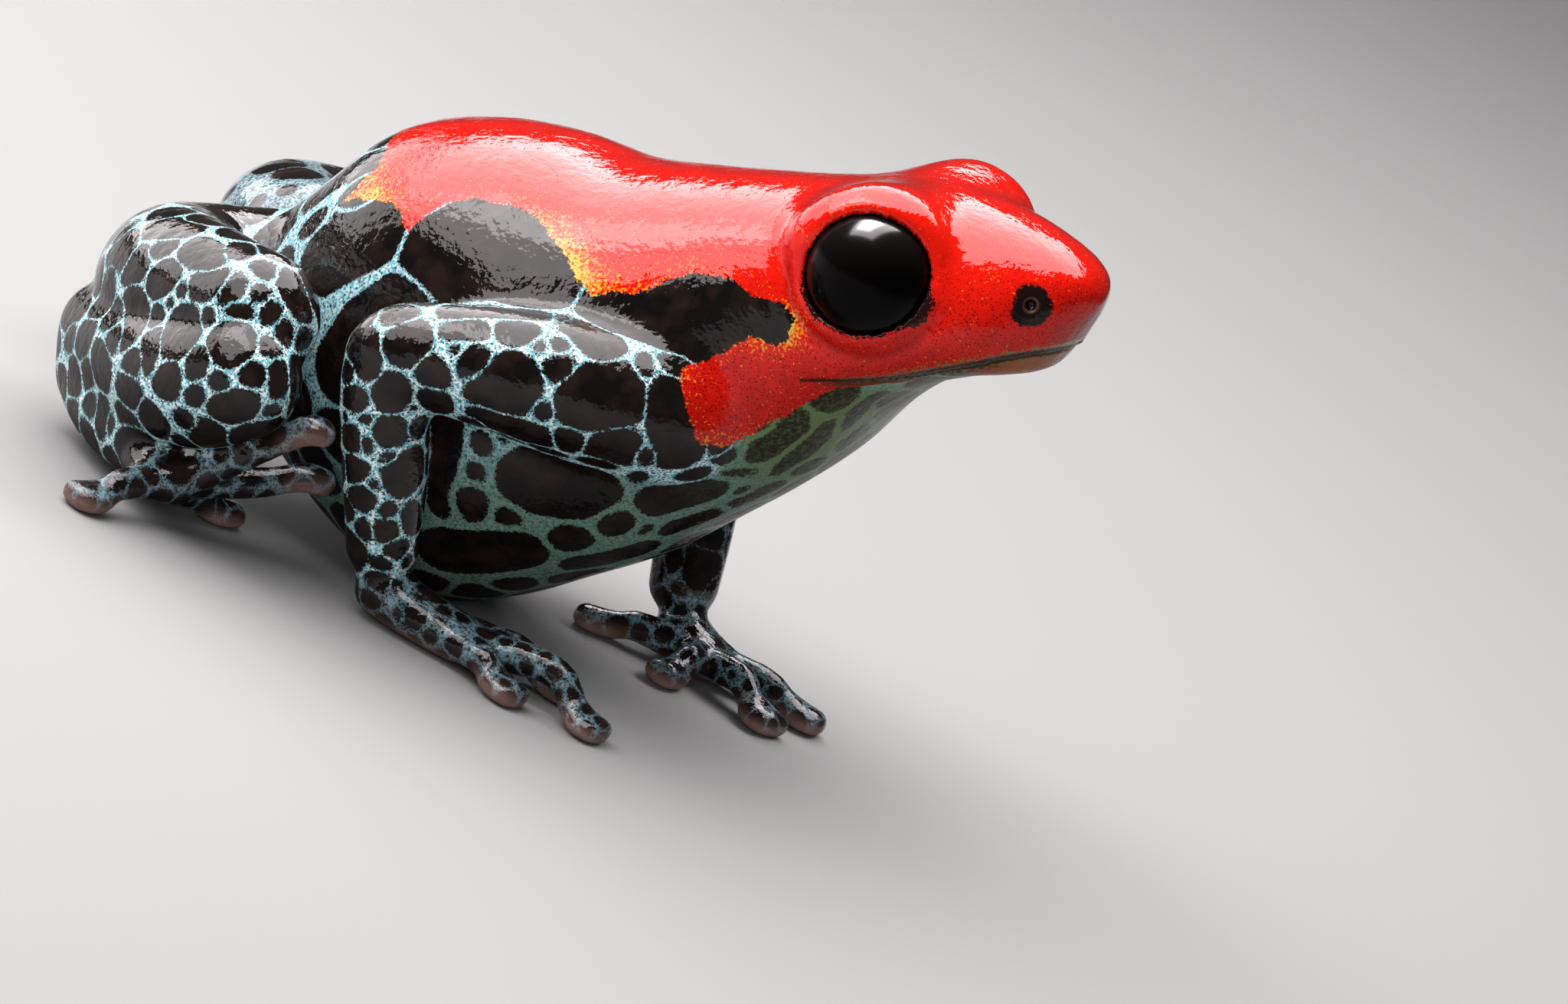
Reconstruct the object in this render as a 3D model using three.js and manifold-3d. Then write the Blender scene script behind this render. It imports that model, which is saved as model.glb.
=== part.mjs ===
// Small red backed poison frog, sitting with its head raised.
// Millimetres. +X toward the snout, +Y the frog's left, +Z up, floor at z = 0.
import * as THREE from "three";
import { mergeVertices } from "three/addons/utils/BufferGeometryUtils.js";
import Module from "manifold-3d";

const wasm = await Module();
wasm.setup();

// Main sizes
const pitch = THREE.MathUtils.degToRad(30.5); // the back slopes up to the head by this much
const lean = THREE.MathUtils.degToRad(5.5); // the right side sits this much lower
const ventPlace = new THREE.Vector3(-7.91, -0.7, 3.73);
const gap = 0.26; // clear space between two parts of the body
const eyeRadius = 1.21;
const eyePlace = { along: 14.42, side: 2.3, up: -0.77 };
const socketSpace = 0.2; // clear space between an eye and its socket
const lidThickness = 0.28;
const lidRim = 0.5; // how far the rim of the lids stands outside the middle of the eye
const nostril = { along: 17.2, side: 1.5, up: -1.58, radius: 0.19 };
const eardrum = { along: 12.75, side: 3.72, up: -1.6, radius: 0.95 };
const neck = { along: 12.3, up: -1.8, radius: 6 };
const jawDome = 0.45; // the mouth line rises this much toward the middle of the head
const headHalfWidth = 2.9;
const muzzle = { from: 15.2, to: 18, setBack: 1.0, softness: 0.5 }; // the lower half stops short
const bodyLength = { from: -0.15, to: 18.12 };
const squareness = 0.86; // one makes the rings of the body ellipses, less makes them fuller
const digitSize = { root: [0.36, 0.34], knuckle: [0.3, 0.3], neck: [0.27, 0.27] }; // half width, height
const disc = { reach: 0.4, thickness: 0.28, endWidth: 0.9, endThickness: 0.86 }; // tips of the digits
const mouthBox = { from: 11.2, to: 19.2, halfWidth: 4.2, steps: 15 };
const clear = { side: 12, down: -12, up: 9, behind: -6, ahead: 26 }; // well outside the body all round
const bodySides = 36;
const limbSides = 14;
const digitSides = 8;

// Directions of the body: forward, left and up along its own axes
const forward = new THREE.Vector3(Math.cos(pitch), 0, Math.sin(pitch));
const levelUp = new THREE.Vector3(-Math.sin(pitch), 0, Math.cos(pitch));
const left = new THREE.Vector3(0, Math.cos(lean), 0).addScaledVector(levelUp, Math.sin(lean));
const dorsal = levelUp.clone().multiplyScalar(Math.cos(lean)).add(new THREE.Vector3(0, -Math.sin(lean), 0));

// Body profile: distance from the vent, then back line, widest line, belly line and half width
const bodyProfile = [
  [-0.15, -0.45, -0.8, -1.15, 0.25],
  [0.4, 0.4, -1.2, -2.6, 1.5],
  [1.3, 0.86, -1.7, -4.1, 2.45],
  [2.5, 1.52, -2.0, -5.65, 3.2],
  [4.0, 2.32, -2.3, -6.72, 3.8],
  [5.5, 2.38, -2.4, -6.75, 4.1],
  [7.0, 2.05, -2.4, -6.45, 4.15],
  [8.5, 1.47, -2.4, -6.1, 3.9],
  [10.0, 1.22, -2.2, -5.5, 3.45],
  [11.3, 1.06, -2.0, -4.95, 3.1],
  [12.5, 0.93, -1.9, -4.32, 2.95],
  [13.5, 0.86, -1.9, -3.56, 2.98],
  [14.5, 0.78, -1.9, -3.1, 2.85],
  [15.5, 0.48, -1.85, -2.96, 2.45],
  [16.5, 0.0, -1.8, -2.97, 2.0],
  [17.3, -0.5, -1.75, -2.94, 1.42],
  [17.8, -0.9, -1.72, -2.78, 1.0],
  [18.02, -1.2, -1.7, -2.45, 0.62],
  [18.12, -1.52, -1.7, -1.95, 0.22],
];
const mouthProfile = [
  [11.5, -2.6],
  [13.2, -2.62],
  [14.6, -2.7],
  [15.8, -2.62],
  [16.9, -2.52],
  [18.6, -2.56],
];

// Value of one column of a table of rows, eased between the rows
function eased(rows, at, column) {
  let i = 0;
  while (i < rows.length - 2 && at > rows[i + 1][0]) i += 1;
  const from = rows[i];
  const to = rows[i + 1];
  const step = to[0] - from[0];
  const t = THREE.MathUtils.clamp((at - from[0]) / step, 0, 1);
  const before = rows[Math.max(i - 1, 0)];
  const after = rows[Math.min(i + 2, rows.length - 1)];
  const slopeFrom = ((to[column] - before[column]) / (to[0] - before[0])) * step;
  const slopeTo = ((after[column] - from[column]) / (after[0] - from[0])) * step;
  const t2 = t * t;
  const t3 = t2 * t;
  return (2 * t3 - 3 * t2 + 1) * from[column] + (t3 - 2 * t2 + t) * slopeFrom
    + (3 * t2 - 2 * t3) * to[column] + (t3 - t2) * slopeTo;
}

function bodyPoint(along, side, up) {
  return ventPlace.clone().addScaledVector(forward, along)
    .addScaledVector(left, side).addScaledVector(dorsal, up);
}

// A closed skin through rings of points, each end closed on its middle
function loft(rings) {
  const sides = rings[0].length;
  const points = [];
  const faces = [];
  for (const ring of rings) for (const p of ring) points.push(p.x, p.y, p.z);
  for (let r = 0; r + 1 < rings.length; r += 1) {
    for (let s = 0; s < sides; s += 1) {
      const a = r * sides + s;
      const b = r * sides + ((s + 1) % sides);
      faces.push(a, b, a + sides, b, b + sides, a + sides);
    }
  }
  for (const end of [0, rings.length - 1]) {
    const middle = new THREE.Vector3();
    for (const p of rings[end]) middle.addScaledVector(p, 1 / sides);
    const tip = points.length / 3;
    points.push(middle.x, middle.y, middle.z);
    for (let s = 0; s < sides; s += 1) {
      const a = end * sides + s;
      const b = end * sides + ((s + 1) % sides);
      if (end === 0) faces.push(b, a, tip);
      else faces.push(a, b, tip);
    }
  }
  const geometry = new THREE.BufferGeometry();
  geometry.setAttribute("position", new THREE.Float32BufferAttribute(points, 3));
  geometry.setIndex(faces);
  return geometry;
}

function solid(geometry) {
  const plain = geometry.clone();
  plain.deleteAttribute("normal");
  plain.deleteAttribute("uv");
  const merged = mergeVertices(plain, 1e-5);
  return new wasm.Manifold(new wasm.Mesh({
    numProp: 3,
    vertProperties: new Float32Array(merged.attributes.position.array),
    triVerts: new Uint32Array(merged.index.array),
  }));
}

function ball(middle, radius, sides = 26) {
  return solid(new THREE.SphereGeometry(radius, sides, sides / 2).translate(middle.x, middle.y, middle.z));
}

function joined(pieces) {
  return pieces.reduce((whole, piece) => whole.add(piece));
}

function largest(shape) {
  return shape.decompose().reduce((best, piece) => (piece.volume() > best.volume() ? piece : best));
}

// What is over zero, eased in over a width
function softened(value, width) {
  if (value > width) return value;
  return value < -width ? 0 : (value + width) ** 2 / (4 * width);
}

// The body skin from one place along the back to another, made bigger all round by grow
function bodySkin(from, to, steps, grow = 0) {
  const rings = [];
  for (let i = 0; i <= steps; i += 1) {
    const t = (1 - Math.cos((Math.PI * i) / steps)) / 2;
    const along = from + (to - from) * (0.35 * t + (0.65 * i) / steps);
    const [top, middle, bottom, half] = [1, 2, 3, 4].map((column) => eased(bodyProfile, along, column));
    const slope = muzzle.setBack * THREE.MathUtils.smoothstep(along, muzzle.from, muzzle.to);
    const ring = [];
    for (let s = 0; s < bodySides; s += 1) {
      const turn = (2 * Math.PI * s) / bodySides;
      const across = Math.sign(Math.cos(turn)) * Math.abs(Math.cos(turn)) ** squareness;
      const height = Math.sign(Math.sin(turn)) * Math.abs(Math.sin(turn)) ** squareness;
      const reach = height > 0 ? top - middle + grow : middle - bottom + grow;
      const stretch = grow * (2 * (i / steps) - 1);
      const setBack = slope * softened(-reach * height, muzzle.softness);
      ring.push(bodyPoint(along + stretch - setBack, (half + grow) * across, middle + reach * height));
    }
    rings.push(ring);
  }
  return solid(loft(rings));
}

// A limb or digit along a curve. Rows: x, y, z, half width, half height. Its ends are round.
function limb(rows, sides, steps, grow = 0) {
  const curve = new THREE.CatmullRomCurve3(rows.map((row) => new THREE.Vector3(row[0], row[1], row[2])));
  const length = curve.getLength();
  const sizes = [3, 4].map((column) => new THREE.SplineCurve(
    rows.map((row, i) => new THREE.Vector2(i, row[column])),
  ));
  const rings = [];
  for (let i = 0; i <= steps; i += 1) {
    const eased01 = (1 - Math.cos((Math.PI * i) / steps)) / 2;
    const t = 0.6 * eased01 + (0.4 * i) / steps;
    const [wide, high] = sizes.map((size) => size.getPoint(t).y + grow);
    const place = curve.getPoint(t);
    const heading = curve.getTangent(t);
    const across = new THREE.Vector3(0, 0, 1).cross(heading).normalize();
    const over = heading.clone().cross(across).normalize();
    const round = Math.min(wide, high);
    const fromEnd = Math.min(t, 1 - t) * length + 0.02 * round;
    const narrowing = fromEnd < round ? Math.sqrt(1 - (1 - fromEnd / round) ** 2) : 1;
    const stretch = grow * (2 * t - 1);
    const ring = [];
    for (let s = 0; s < sides; s += 1) {
      const turn = (2 * Math.PI * s) / sides;
      ring.push(place.clone()
        .addScaledVector(heading, stretch)
        .addScaledVector(across, wide * narrowing * Math.cos(turn))
        .addScaledVector(over, high * narrowing * Math.sin(turn)));
    }
    rings.push(ring);
  }
  return solid(loft(rings));
}

// A digit from its root over a knuckle to a broad disc at the tip
function digit(root, knuckle, tip, discWidth) {
  const heading = new THREE.Vector3(...tip).sub(new THREE.Vector3(...knuckle)).normalize();
  const ahead = heading.multiplyScalar(disc.reach);
  const onward = (share, height) => [tip[0] + share * ahead.x, tip[1] + share * ahead.y, height];
  return limb([
    [...root, ...digitSize.root],
    [...knuckle, ...digitSize.knuckle],
    [...onward(-1.5, tip[2] - 1.2 * ahead.z), ...digitSize.neck],
    [...onward(-0.4, tip[2]), discWidth, disc.thickness],
    [...onward(1, tip[2]), discWidth * disc.endWidth, disc.thickness * disc.endThickness],
  ], digitSides, 10);
}

const floorCut = solid(new THREE.BoxGeometry(60, 60, 4).translate(0, 0, -2));
const onFloor = (shape) => shape.subtract(floorCut);

// A block around the body from one place along the back to another
function bodyBlock(from, to) {
  const { side, down, up } = clear;
  const corners = [[-side, down], [side, down], [side, up], [-side, up]];
  return solid(loft([from, to].map((along) => corners.map((corner) => bodyPoint(along, ...corner)))));
}

// Everything in front of a ball shaped cut through the neck, and everything behind it
const neckBack = neck.along - neck.radius;
const neckMiddle = bodyPoint(neckBack, 0, neck.up);
const inFront = bodyBlock(neckBack, clear.ahead).subtract(ball(neckMiddle, neck.radius - gap / 2, 38));
const behind = bodyBlock(clear.behind, neckBack).add(ball(neckMiddle, neck.radius + gap / 2, 38));

// Solid between two heights over the head, domed across so that the mouth lets no light through
function mouthBlock(lowest, highest) {
  const { from, to, halfWidth, steps } = mouthBox;
  const rings = [];
  for (let i = 0; i <= steps; i += 1) {
    const along = from + ((to - from) * i) / steps;
    const sides = [];
    for (let s = 0; s <= steps; s += 1) sides.push(halfWidth * ((2 * s) / steps - 1));
    const under = sides.map((side) => bodyPoint(along, side, lowest(along, side)));
    const over = sides.map((side) => bodyPoint(along, side, highest(along, side))).reverse();
    rings.push([...under, ...over]);
  }
  return solid(loft(rings));
}
function mouthHeight(along, side) {
  const half = Math.max(eased(bodyProfile, Math.min(along, bodyLength.to - 0.2), 4), 0.5);
  const dome = Math.max(1 - (side / half) ** 2, -0.3);
  return eased(mouthProfile, along, 1) + jawDome * (half / headHalfWidth) * dome;
}
const overGap = (along, side) => mouthHeight(along, side) + gap / 2;
const underGap = (along, side) => mouthHeight(along, side) - gap / 2;
const underMouth = mouthBlock(() => clear.down, overGap);
const overMouth = mouthBlock(underGap, () => clear.up);

// Limbs: rows of x, y, z, half width, half height
const limbRows = {
  upper_arm_right: [
    [3.3, -1.9, 6.2, 1.3, 1.3],
    [1.6, -3.9, 5.9, 1.3, 1.3],
    [-0.4, -5.1, 5.5, 1.1, 1.12],
    [-2.25, -5.75, 4.95, 0.8, 0.85],
  ],
  forearm_right: [
    [-2.2, -5.75, 5.5, 0.72, 0.72],
    [-1.75, -5.6, 4.2, 0.82, 0.85],
    [-1.25, -5.15, 2.7, 0.76, 0.8],
    [-0.8, -4.5, 0.9, 0.68, 0.66],
  ],
  thigh_right: [
    [-6.3, -0.6, 3.8, 1.5, 1.5],
    [-7.7, -2.9, 3.3, 1.55, 1.6],
    [-6.7, -4.8, 3.7, 1.45, 1.5],
    [-3.7, -6.7, 4.6, 1.15, 1.2],
  ],
  shank_right: [
    [-3.2, -7.0, 4.0, 1.05, 1.1],
    [-5.0, -6.5, 2.8, 1.1, 1.3],
    [-7.0, -5.1, 2.3, 1.08, 1.12],
    [-8.9, -3.5, 1.9, 0.85, 0.9],
  ],
  tarsus_right: [
    [-8.6, -3.7, 1.3, 0.75, 0.8],
    [-7.0, -5.0, 1.0, 0.75, 0.8],
    [-5.2, -6.2, 1.2, 0.7, 0.75],
  ],
  upper_arm_left: [
    [3.5, 1.6, 6.6, 1.3, 1.3],
    [2.2, 3.6, 6.4, 1.3, 1.3],
    [0.8, 4.6, 5.9, 1.1, 1.15],
    [-0.7, 5.2, 5.2, 0.8, 0.85],
  ],
  forearm_left: [
    [-0.75, 5.25, 5.5, 0.72, 0.72],
    [0.0, 5.0, 4.1, 0.84, 0.88],
    [0.85, 4.4, 2.6, 0.76, 0.8],
    [1.65, 3.7, 0.85, 0.66, 0.66],
  ],
  thigh_left: [
    [-6.6, 0.5, 4.0, 1.5, 1.5],
    [-8.8, 2.6, 3.6, 1.5, 1.55],
    [-8.2, 4.7, 3.6, 1.45, 1.5],
    [-5.3, 6.7, 4.4, 1.15, 1.2],
  ],
  shank_left: [
    [-4.8, 7.0, 3.8, 1.05, 1.1],
    [-6.7, 6.4, 2.75, 1.1, 1.15],
    [-8.6, 5.1, 2.5, 1.08, 1.12],
    [-10.3, 3.6, 2.7, 0.9, 1.0],
  ],
  tarsus_left: [
    [-10.0, 3.8, 1.75, 0.75, 0.75],
    [-8.6, 4.9, 1.1, 0.75, 0.8],
    [-6.6, 6.1, 1.0, 0.7, 0.65],
  ],
};
const limbShape = (name, grow = 0) => limb(limbRows[name], limbSides, 12, grow);

// Hands and feet: palm or sole as a flat limb, then each digit by root, knuckle and tip of its
// curve and half the width of its disc
const handRows = {
  hand_right: {
    palm: [[-1.1, -4.6, 0.7, 0.6, 0.55], [0.1, -4.35, 0.5, 0.68, 0.5], [1.4, -4.1, 0.42, 0.72, 0.42]],
    digits: [
      [[0.7, -3.9, 0.45], [1.3, -3.2, 0.45], [1.7, -2.4, 0.24], 0.38],
      [[1.0, -3.8, 0.45], [1.9, -3.3, 0.6], [2.9, -2.9, 0.24], 0.42],
      [[1.2, -4.1, 0.45], [3.0, -3.95, 0.8], [4.15, -4.0, 0.24], 0.5],
      [[1.1, -4.4, 0.42], [1.9, -4.7, 0.5], [2.65, -4.8, 0.24], 0.46],
    ],
  },
  hand_left: {
    palm: [[1.5, 3.8, 0.65, 0.6, 0.55], [2.2, 3.5, 0.5, 0.68, 0.5], [3.1, 3.2, 0.42, 0.72, 0.42]],
    digits: [
      [[2.2, 3.1, 0.45], [1.4, 2.7, 0.45], [0.7, 2.3, 0.24], 0.38],
      [[2.7, 3.0, 0.45], [2.8, 2.4, 0.5], [2.8, 1.7, 0.24], 0.42],
      [[2.9, 3.1, 0.45], [3.8, 2.75, 0.6], [4.75, 2.4, 0.24], 0.5],
      [[2.9, 3.5, 0.42], [3.9, 3.75, 0.5], [4.9, 3.95, 0.24], 0.46],
    ],
  },
  foot_right: {
    palm: [[-5.6, -6.0, 0.85, 0.6, 0.55], [-4.9, -6.35, 0.85, 0.66, 0.5], [-4.2, -6.4, 0.95, 0.6, 0.42]],
    digits: [
      [[-5.4, -5.9, 0.6], [-5.3, -5.2, 0.4], [-5.2, -4.5, 0.24], 0.34],
      [[-4.9, -6.1, 0.7], [-4.6, -5.2, 0.5], [-4.3, -4.4, 0.24], 0.36],
      [[-4.5, -6.1, 0.9], [-3.6, -5.2, 1.3], [-2.9, -4.35, 1.7], 0.38],
      [[-4.4, -6.4, 1.0], [-3.5, -6.0, 2.1], [-2.75, -5.45, 2.85], 0.42],
      [[-4.8, -6.6, 0.8], [-5.05, -7.5, 0.6], [-5.3, -8.15, 0.24], 0.46],
    ],
  },
  foot_left: {
    palm: [[-6.7, 6.0, 0.8, 0.6, 0.55], [-5.9, 6.35, 0.7, 0.66, 0.5], [-5.2, 6.4, 0.6, 0.6, 0.42]],
    digits: [
      [[-6.1, 6.0, 0.55], [-5.8, 5.2, 0.4], [-5.5, 4.5, 0.24], 0.34],
      [[-5.8, 6.1, 0.55], [-5.1, 5.3, 0.45], [-4.5, 4.6, 0.24], 0.36],
      [[-5.4, 6.1, 0.55], [-4.4, 5.7, 0.6], [-3.4, 5.2, 0.24], 0.38],
      [[-5.3, 6.4, 0.55], [-3.8, 6.4, 0.7], [-2.4, 6.3, 0.24], 0.42],
      [[-5.8, 6.6, 0.55], [-5.7, 7.6, 0.5], [-5.6, 8.4, 0.24], 0.46],
    ],
  },
};
const handShape = (name) => onFloor(joined([
  limb(handRows[name].palm, 10, 9),
  ...handRows[name].digits.map((row) => digit(...row)),
]));

// Body, head and jaw
const bodyWhole = onFloor(bodySkin(bodyLength.from, bodyLength.to, 45));
const bodyGrown = bodySkin(bodyLength.from, bodyLength.to, 40, gap);
const solids = {};
solids.torso = bodyWhole.subtract(inFront);

// Everything farther out than one side plane
function beside(side, sign) {
  const { down, up, behind: rear, ahead } = clear;
  const outer = side + sign * clear.side;
  const corners = [[side, down], [outer, down], [outer, up], [side, up]];
  if (sign < 0) corners.reverse();
  return solid(loft([rear, ahead].map((along) => corners.map((corner) => bodyPoint(along, ...corner)))));
}

// Sockets with lids, nostrils and eardrums
const eyeMiddles = {
  left: bodyPoint(eyePlace.along, eyePlace.side, eyePlace.up),
  right: bodyPoint(eyePlace.along, -eyePlace.side, eyePlace.up),
};
const socketRadius = eyeRadius + socketSpace;
let skull = bodyWhole.subtract(behind).subtract(underMouth);
for (const [name, sign] of [["left", 1], ["right", -1]]) {
  skull = skull.add(ball(eyeMiddles[name], socketRadius + lidThickness)
    .subtract(beside(sign * (eyePlace.side + lidRim), sign)).subtract(behind));
  skull = skull.subtract(ball(eyeMiddles[name], socketRadius));
  for (const dent of [nostril, eardrum]) {
    const sides = dent === nostril ? 10 : 20;
    skull = skull.subtract(ball(bodyPoint(dent.along, sign * dent.side, dent.up), dent.radius, sides));
  }
}
solids.head = largest(skull);
solids.lower_jaw = largest(bodyWhole.subtract(behind).subtract(overMouth));
solids.eye_left = ball(eyeMiddles.left, eyeRadius, 20);
solids.eye_right = ball(eyeMiddles.right, eyeRadius, 20);

// Limbs, each cut back from the part it grows from
const growsFrom = { forearm: "upper_arm", shank: "thigh", tarsus: "shank" };
for (const side of ["right", "left"]) {
  for (const part of ["upper_arm", "forearm", "thigh", "shank", "tarsus"]) {
    const name = `${part}_${side}`;
    let shape = limbShape(name).subtract(bodyGrown);
    if (growsFrom[part]) shape = shape.subtract(limbShape(`${growsFrom[part]}_${side}`, gap));
    if (part === "tarsus") shape = shape.subtract(limbShape(`thigh_${side}`, gap));
    solids[name] = largest(onFloor(shape));
  }
  for (const [part, parent] of [["hand", "forearm"], ["foot", "tarsus"]]) {
    solids[`${part}_${side}`] = largest(handShape(`${part}_${side}`)
      .subtract(limbShape(`${parent}_${side}`, gap)).subtract(bodyGrown));
  }
}

// Colours by node
const red = { color: 0xd81b10, roughness: 0.35 };
const dark = { color: 0x2c3a3d, roughness: 0.35 };
const black = { color: 0x0d0a09, roughness: 0.08 };
const lookOf = (name) => {
  if (name.startsWith("eye")) return black;
  return ["torso", "head", "lower_jaw"].includes(name) ? red : dark;
};

const frog = new THREE.Group();
frog.name = "poison_frog";
for (const [name, shape] of Object.entries(solids)) {
  const made = shape.getMesh();
  const geometry = new THREE.BufferGeometry();
  geometry.setAttribute("position", new THREE.Float32BufferAttribute(made.vertProperties, 3));
  geometry.setIndex(new THREE.Uint32BufferAttribute(made.triVerts, 1));
  geometry.computeVertexNormals();
  const mesh = new THREE.Mesh(geometry, new THREE.MeshStandardMaterial({ ...lookOf(name), metalness: 0 }));
  mesh.name = name;
  frog.add(mesh);
}

// The middle of the outer box comes to the origin
const box = new THREE.Box3().setFromObject(frog, true);
const middle = box.getCenter(new THREE.Vector3());
frog.position.set(-middle.x, -middle.y, -box.min.z);

export default frog;
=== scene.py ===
# Small red backed poison frog, sitting with its head raised
import math

import bpy
import numpy as np
from mathutils import Matrix, Vector


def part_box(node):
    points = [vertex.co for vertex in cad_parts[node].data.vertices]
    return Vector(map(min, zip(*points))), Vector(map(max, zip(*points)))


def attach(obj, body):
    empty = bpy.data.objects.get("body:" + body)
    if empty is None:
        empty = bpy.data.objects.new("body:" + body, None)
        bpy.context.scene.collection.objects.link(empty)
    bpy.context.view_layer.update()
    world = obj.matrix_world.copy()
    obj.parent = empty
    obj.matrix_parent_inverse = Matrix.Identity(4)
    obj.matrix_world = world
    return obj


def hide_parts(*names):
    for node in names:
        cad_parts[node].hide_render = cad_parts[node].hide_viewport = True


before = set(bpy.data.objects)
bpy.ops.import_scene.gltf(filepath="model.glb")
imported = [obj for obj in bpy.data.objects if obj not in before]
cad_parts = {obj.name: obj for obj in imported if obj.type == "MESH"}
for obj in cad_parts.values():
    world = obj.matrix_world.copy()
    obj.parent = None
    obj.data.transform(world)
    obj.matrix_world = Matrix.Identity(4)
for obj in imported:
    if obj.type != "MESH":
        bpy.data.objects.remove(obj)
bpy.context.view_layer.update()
print("frame loaded")

mm = 0.001
# Pose of the body, in millimetres and degrees
pose = {
    "pitch": 30.5,
    "lean": 5.5,
    "vent": (-7.91, -0.7, 3.73),
    "eye along, side, up": (14.42, 2.3, -0.77),
    "eye radius": 1.21,
}
pitch, lean = math.radians(pose["pitch"]), math.radians(pose["lean"])
forward = np.array([math.cos(pitch), 0, math.sin(pitch)])
levelUp = np.array([-math.sin(pitch), 0, math.cos(pitch)])
left = np.array([0, math.cos(lean), 0]) + math.sin(lean) * levelUp
dorsal = math.cos(lean) * levelUp - np.array([0, math.sin(lean), 0])
vent = np.array(pose["vent"])
bodyAxes = np.stack([forward, left, dorsal])


def bodyToPose(points):
    return vent + np.asarray(points, float) @ bodyAxes


def poseToBody(points):
    return (points - vent) @ bodyAxes.T


eyeAlong, eyeSide, eyeUp = pose["eye along, side, up"]
eyeMiddles = {
    "left": bodyToPose((eyeAlong, eyeSide, eyeUp)),
    "right": bodyToPose((eyeAlong, -eyeSide, eyeUp)),
}
lowest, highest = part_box("eye_right")
eyeInFrame = np.array((lowest + highest) / 2) / mm
poseToFrame = eyeInFrame - eyeMiddles["right"]

# Body profile: distance from the vent, back line, widest line, belly line, half width
bodyProfile = np.array([
    (-0.15, -0.45, -0.8, -1.15, 0.25),
    (0.4, 0.4, -1.2, -2.6, 1.5),
    (1.3, 0.86, -1.7, -4.1, 2.45),
    (2.5, 1.52, -2.0, -5.65, 3.2),
    (4.0, 2.32, -2.3, -6.72, 3.8),
    (5.5, 2.38, -2.4, -6.75, 4.1),
    (7.0, 2.05, -2.4, -6.45, 4.15),
    (8.5, 1.47, -2.4, -6.1, 3.9),
    (10.0, 1.22, -2.2, -5.5, 3.45),
    (11.3, 1.06, -2.0, -4.95, 3.1),
    (12.5, 0.93, -1.9, -4.32, 2.95),
    (13.5, 0.86, -1.9, -3.56, 2.98),
    (14.5, 0.78, -1.9, -3.1, 2.85),
    (15.5, 0.48, -1.85, -2.96, 2.45),
    (16.5, 0.0, -1.8, -2.97, 2.0),
    (17.3, -0.5, -1.75, -2.94, 1.42),
    (17.8, -0.9, -1.72, -2.78, 1.0),
    (18.06, -1.2, -1.7, -2.45, 0.66),
    (18.22, -1.5, -1.7, -2.0, 0.3),
])
# Line of the mouth: distance from the vent, height
mouthProfile = np.array([
    (11.5, -2.6), (13.2, -2.62), (14.6, -2.7), (15.8, -2.62), (16.9, -2.52), (18.6, -2.56),
])
# Cross section of the trunk, set back below its widest line toward the muzzle, and the space it fills
trunk = {
    "squareness": 0.86, "end rounding": 0.7,
    "low corner": (-9.5, -5.6, -0.35), "high corner": (8.9, 5.0, 12.9),
    "muzzle from": 15.2, "muzzle to": 18, "muzzle set back": 1.0, "muzzle softness": 0.5,
}

# Limbs: x, y, z, half width, half height
limbRows = {
    "upper_arm_right": [
        (3.3, -1.9, 6.2, 1.3, 1.3), (1.6, -3.9, 5.9, 1.3, 1.3),
        (-0.4, -5.1, 5.5, 1.1, 1.12), (-2.25, -5.75, 4.95, 0.8, 0.85),
    ],
    "forearm_right": [
        (-2.2, -5.75, 5.5, 0.72, 0.72), (-1.75, -5.6, 4.2, 0.82, 0.85),
        (-1.25, -5.15, 2.7, 0.76, 0.8), (-0.8, -4.5, 0.9, 0.68, 0.66),
    ],
    "thigh_right": [
        (-6.3, -0.6, 3.8, 1.5, 1.5), (-7.7, -2.9, 3.3, 1.55, 1.6),
        (-6.7, -4.8, 3.7, 1.45, 1.5), (-3.7, -6.7, 4.6, 1.15, 1.2),
    ],
    "shank_right": [
        (-3.2, -7.0, 4.0, 1.05, 1.1), (-5.0, -6.5, 2.8, 1.1, 1.3),
        (-7.0, -5.1, 2.3, 1.08, 1.12), (-8.9, -3.5, 1.9, 0.85, 0.9),
    ],
    "tarsus_right": [
        (-8.6, -3.7, 1.3, 0.75, 0.8), (-7.0, -5.0, 1.0, 0.75, 0.8),
        (-5.2, -6.2, 1.2, 0.7, 0.75),
    ],
    "upper_arm_left": [
        (3.5, 1.6, 6.6, 1.3, 1.3), (2.2, 3.6, 6.4, 1.3, 1.3),
        (0.8, 4.6, 5.9, 1.1, 1.15), (-0.7, 5.2, 5.2, 0.8, 0.85),
    ],
    "forearm_left": [
        (-0.75, 5.25, 5.5, 0.72, 0.72), (0.0, 5.0, 4.1, 0.84, 0.88),
        (0.85, 4.4, 2.6, 0.76, 0.8), (1.65, 3.7, 0.85, 0.66, 0.66),
    ],
    "thigh_left": [
        (-6.6, 0.5, 4.0, 1.5, 1.5), (-8.8, 2.6, 3.6, 1.5, 1.55),
        (-8.2, 4.7, 3.6, 1.45, 1.5), (-5.3, 6.7, 4.4, 1.15, 1.2),
    ],
    "shank_left": [
        (-4.8, 7.0, 3.8, 1.05, 1.1), (-6.7, 6.4, 2.75, 1.1, 1.15),
        (-8.6, 5.1, 2.5, 1.08, 1.12), (-10.3, 3.6, 2.7, 0.9, 1.0),
    ],
    "tarsus_left": [
        (-10.0, 3.8, 1.75, 0.75, 0.75), (-8.6, 4.9, 1.1, 0.75, 0.8),
        (-6.6, 6.1, 1.0, 0.7, 0.65),
    ],
}
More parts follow.
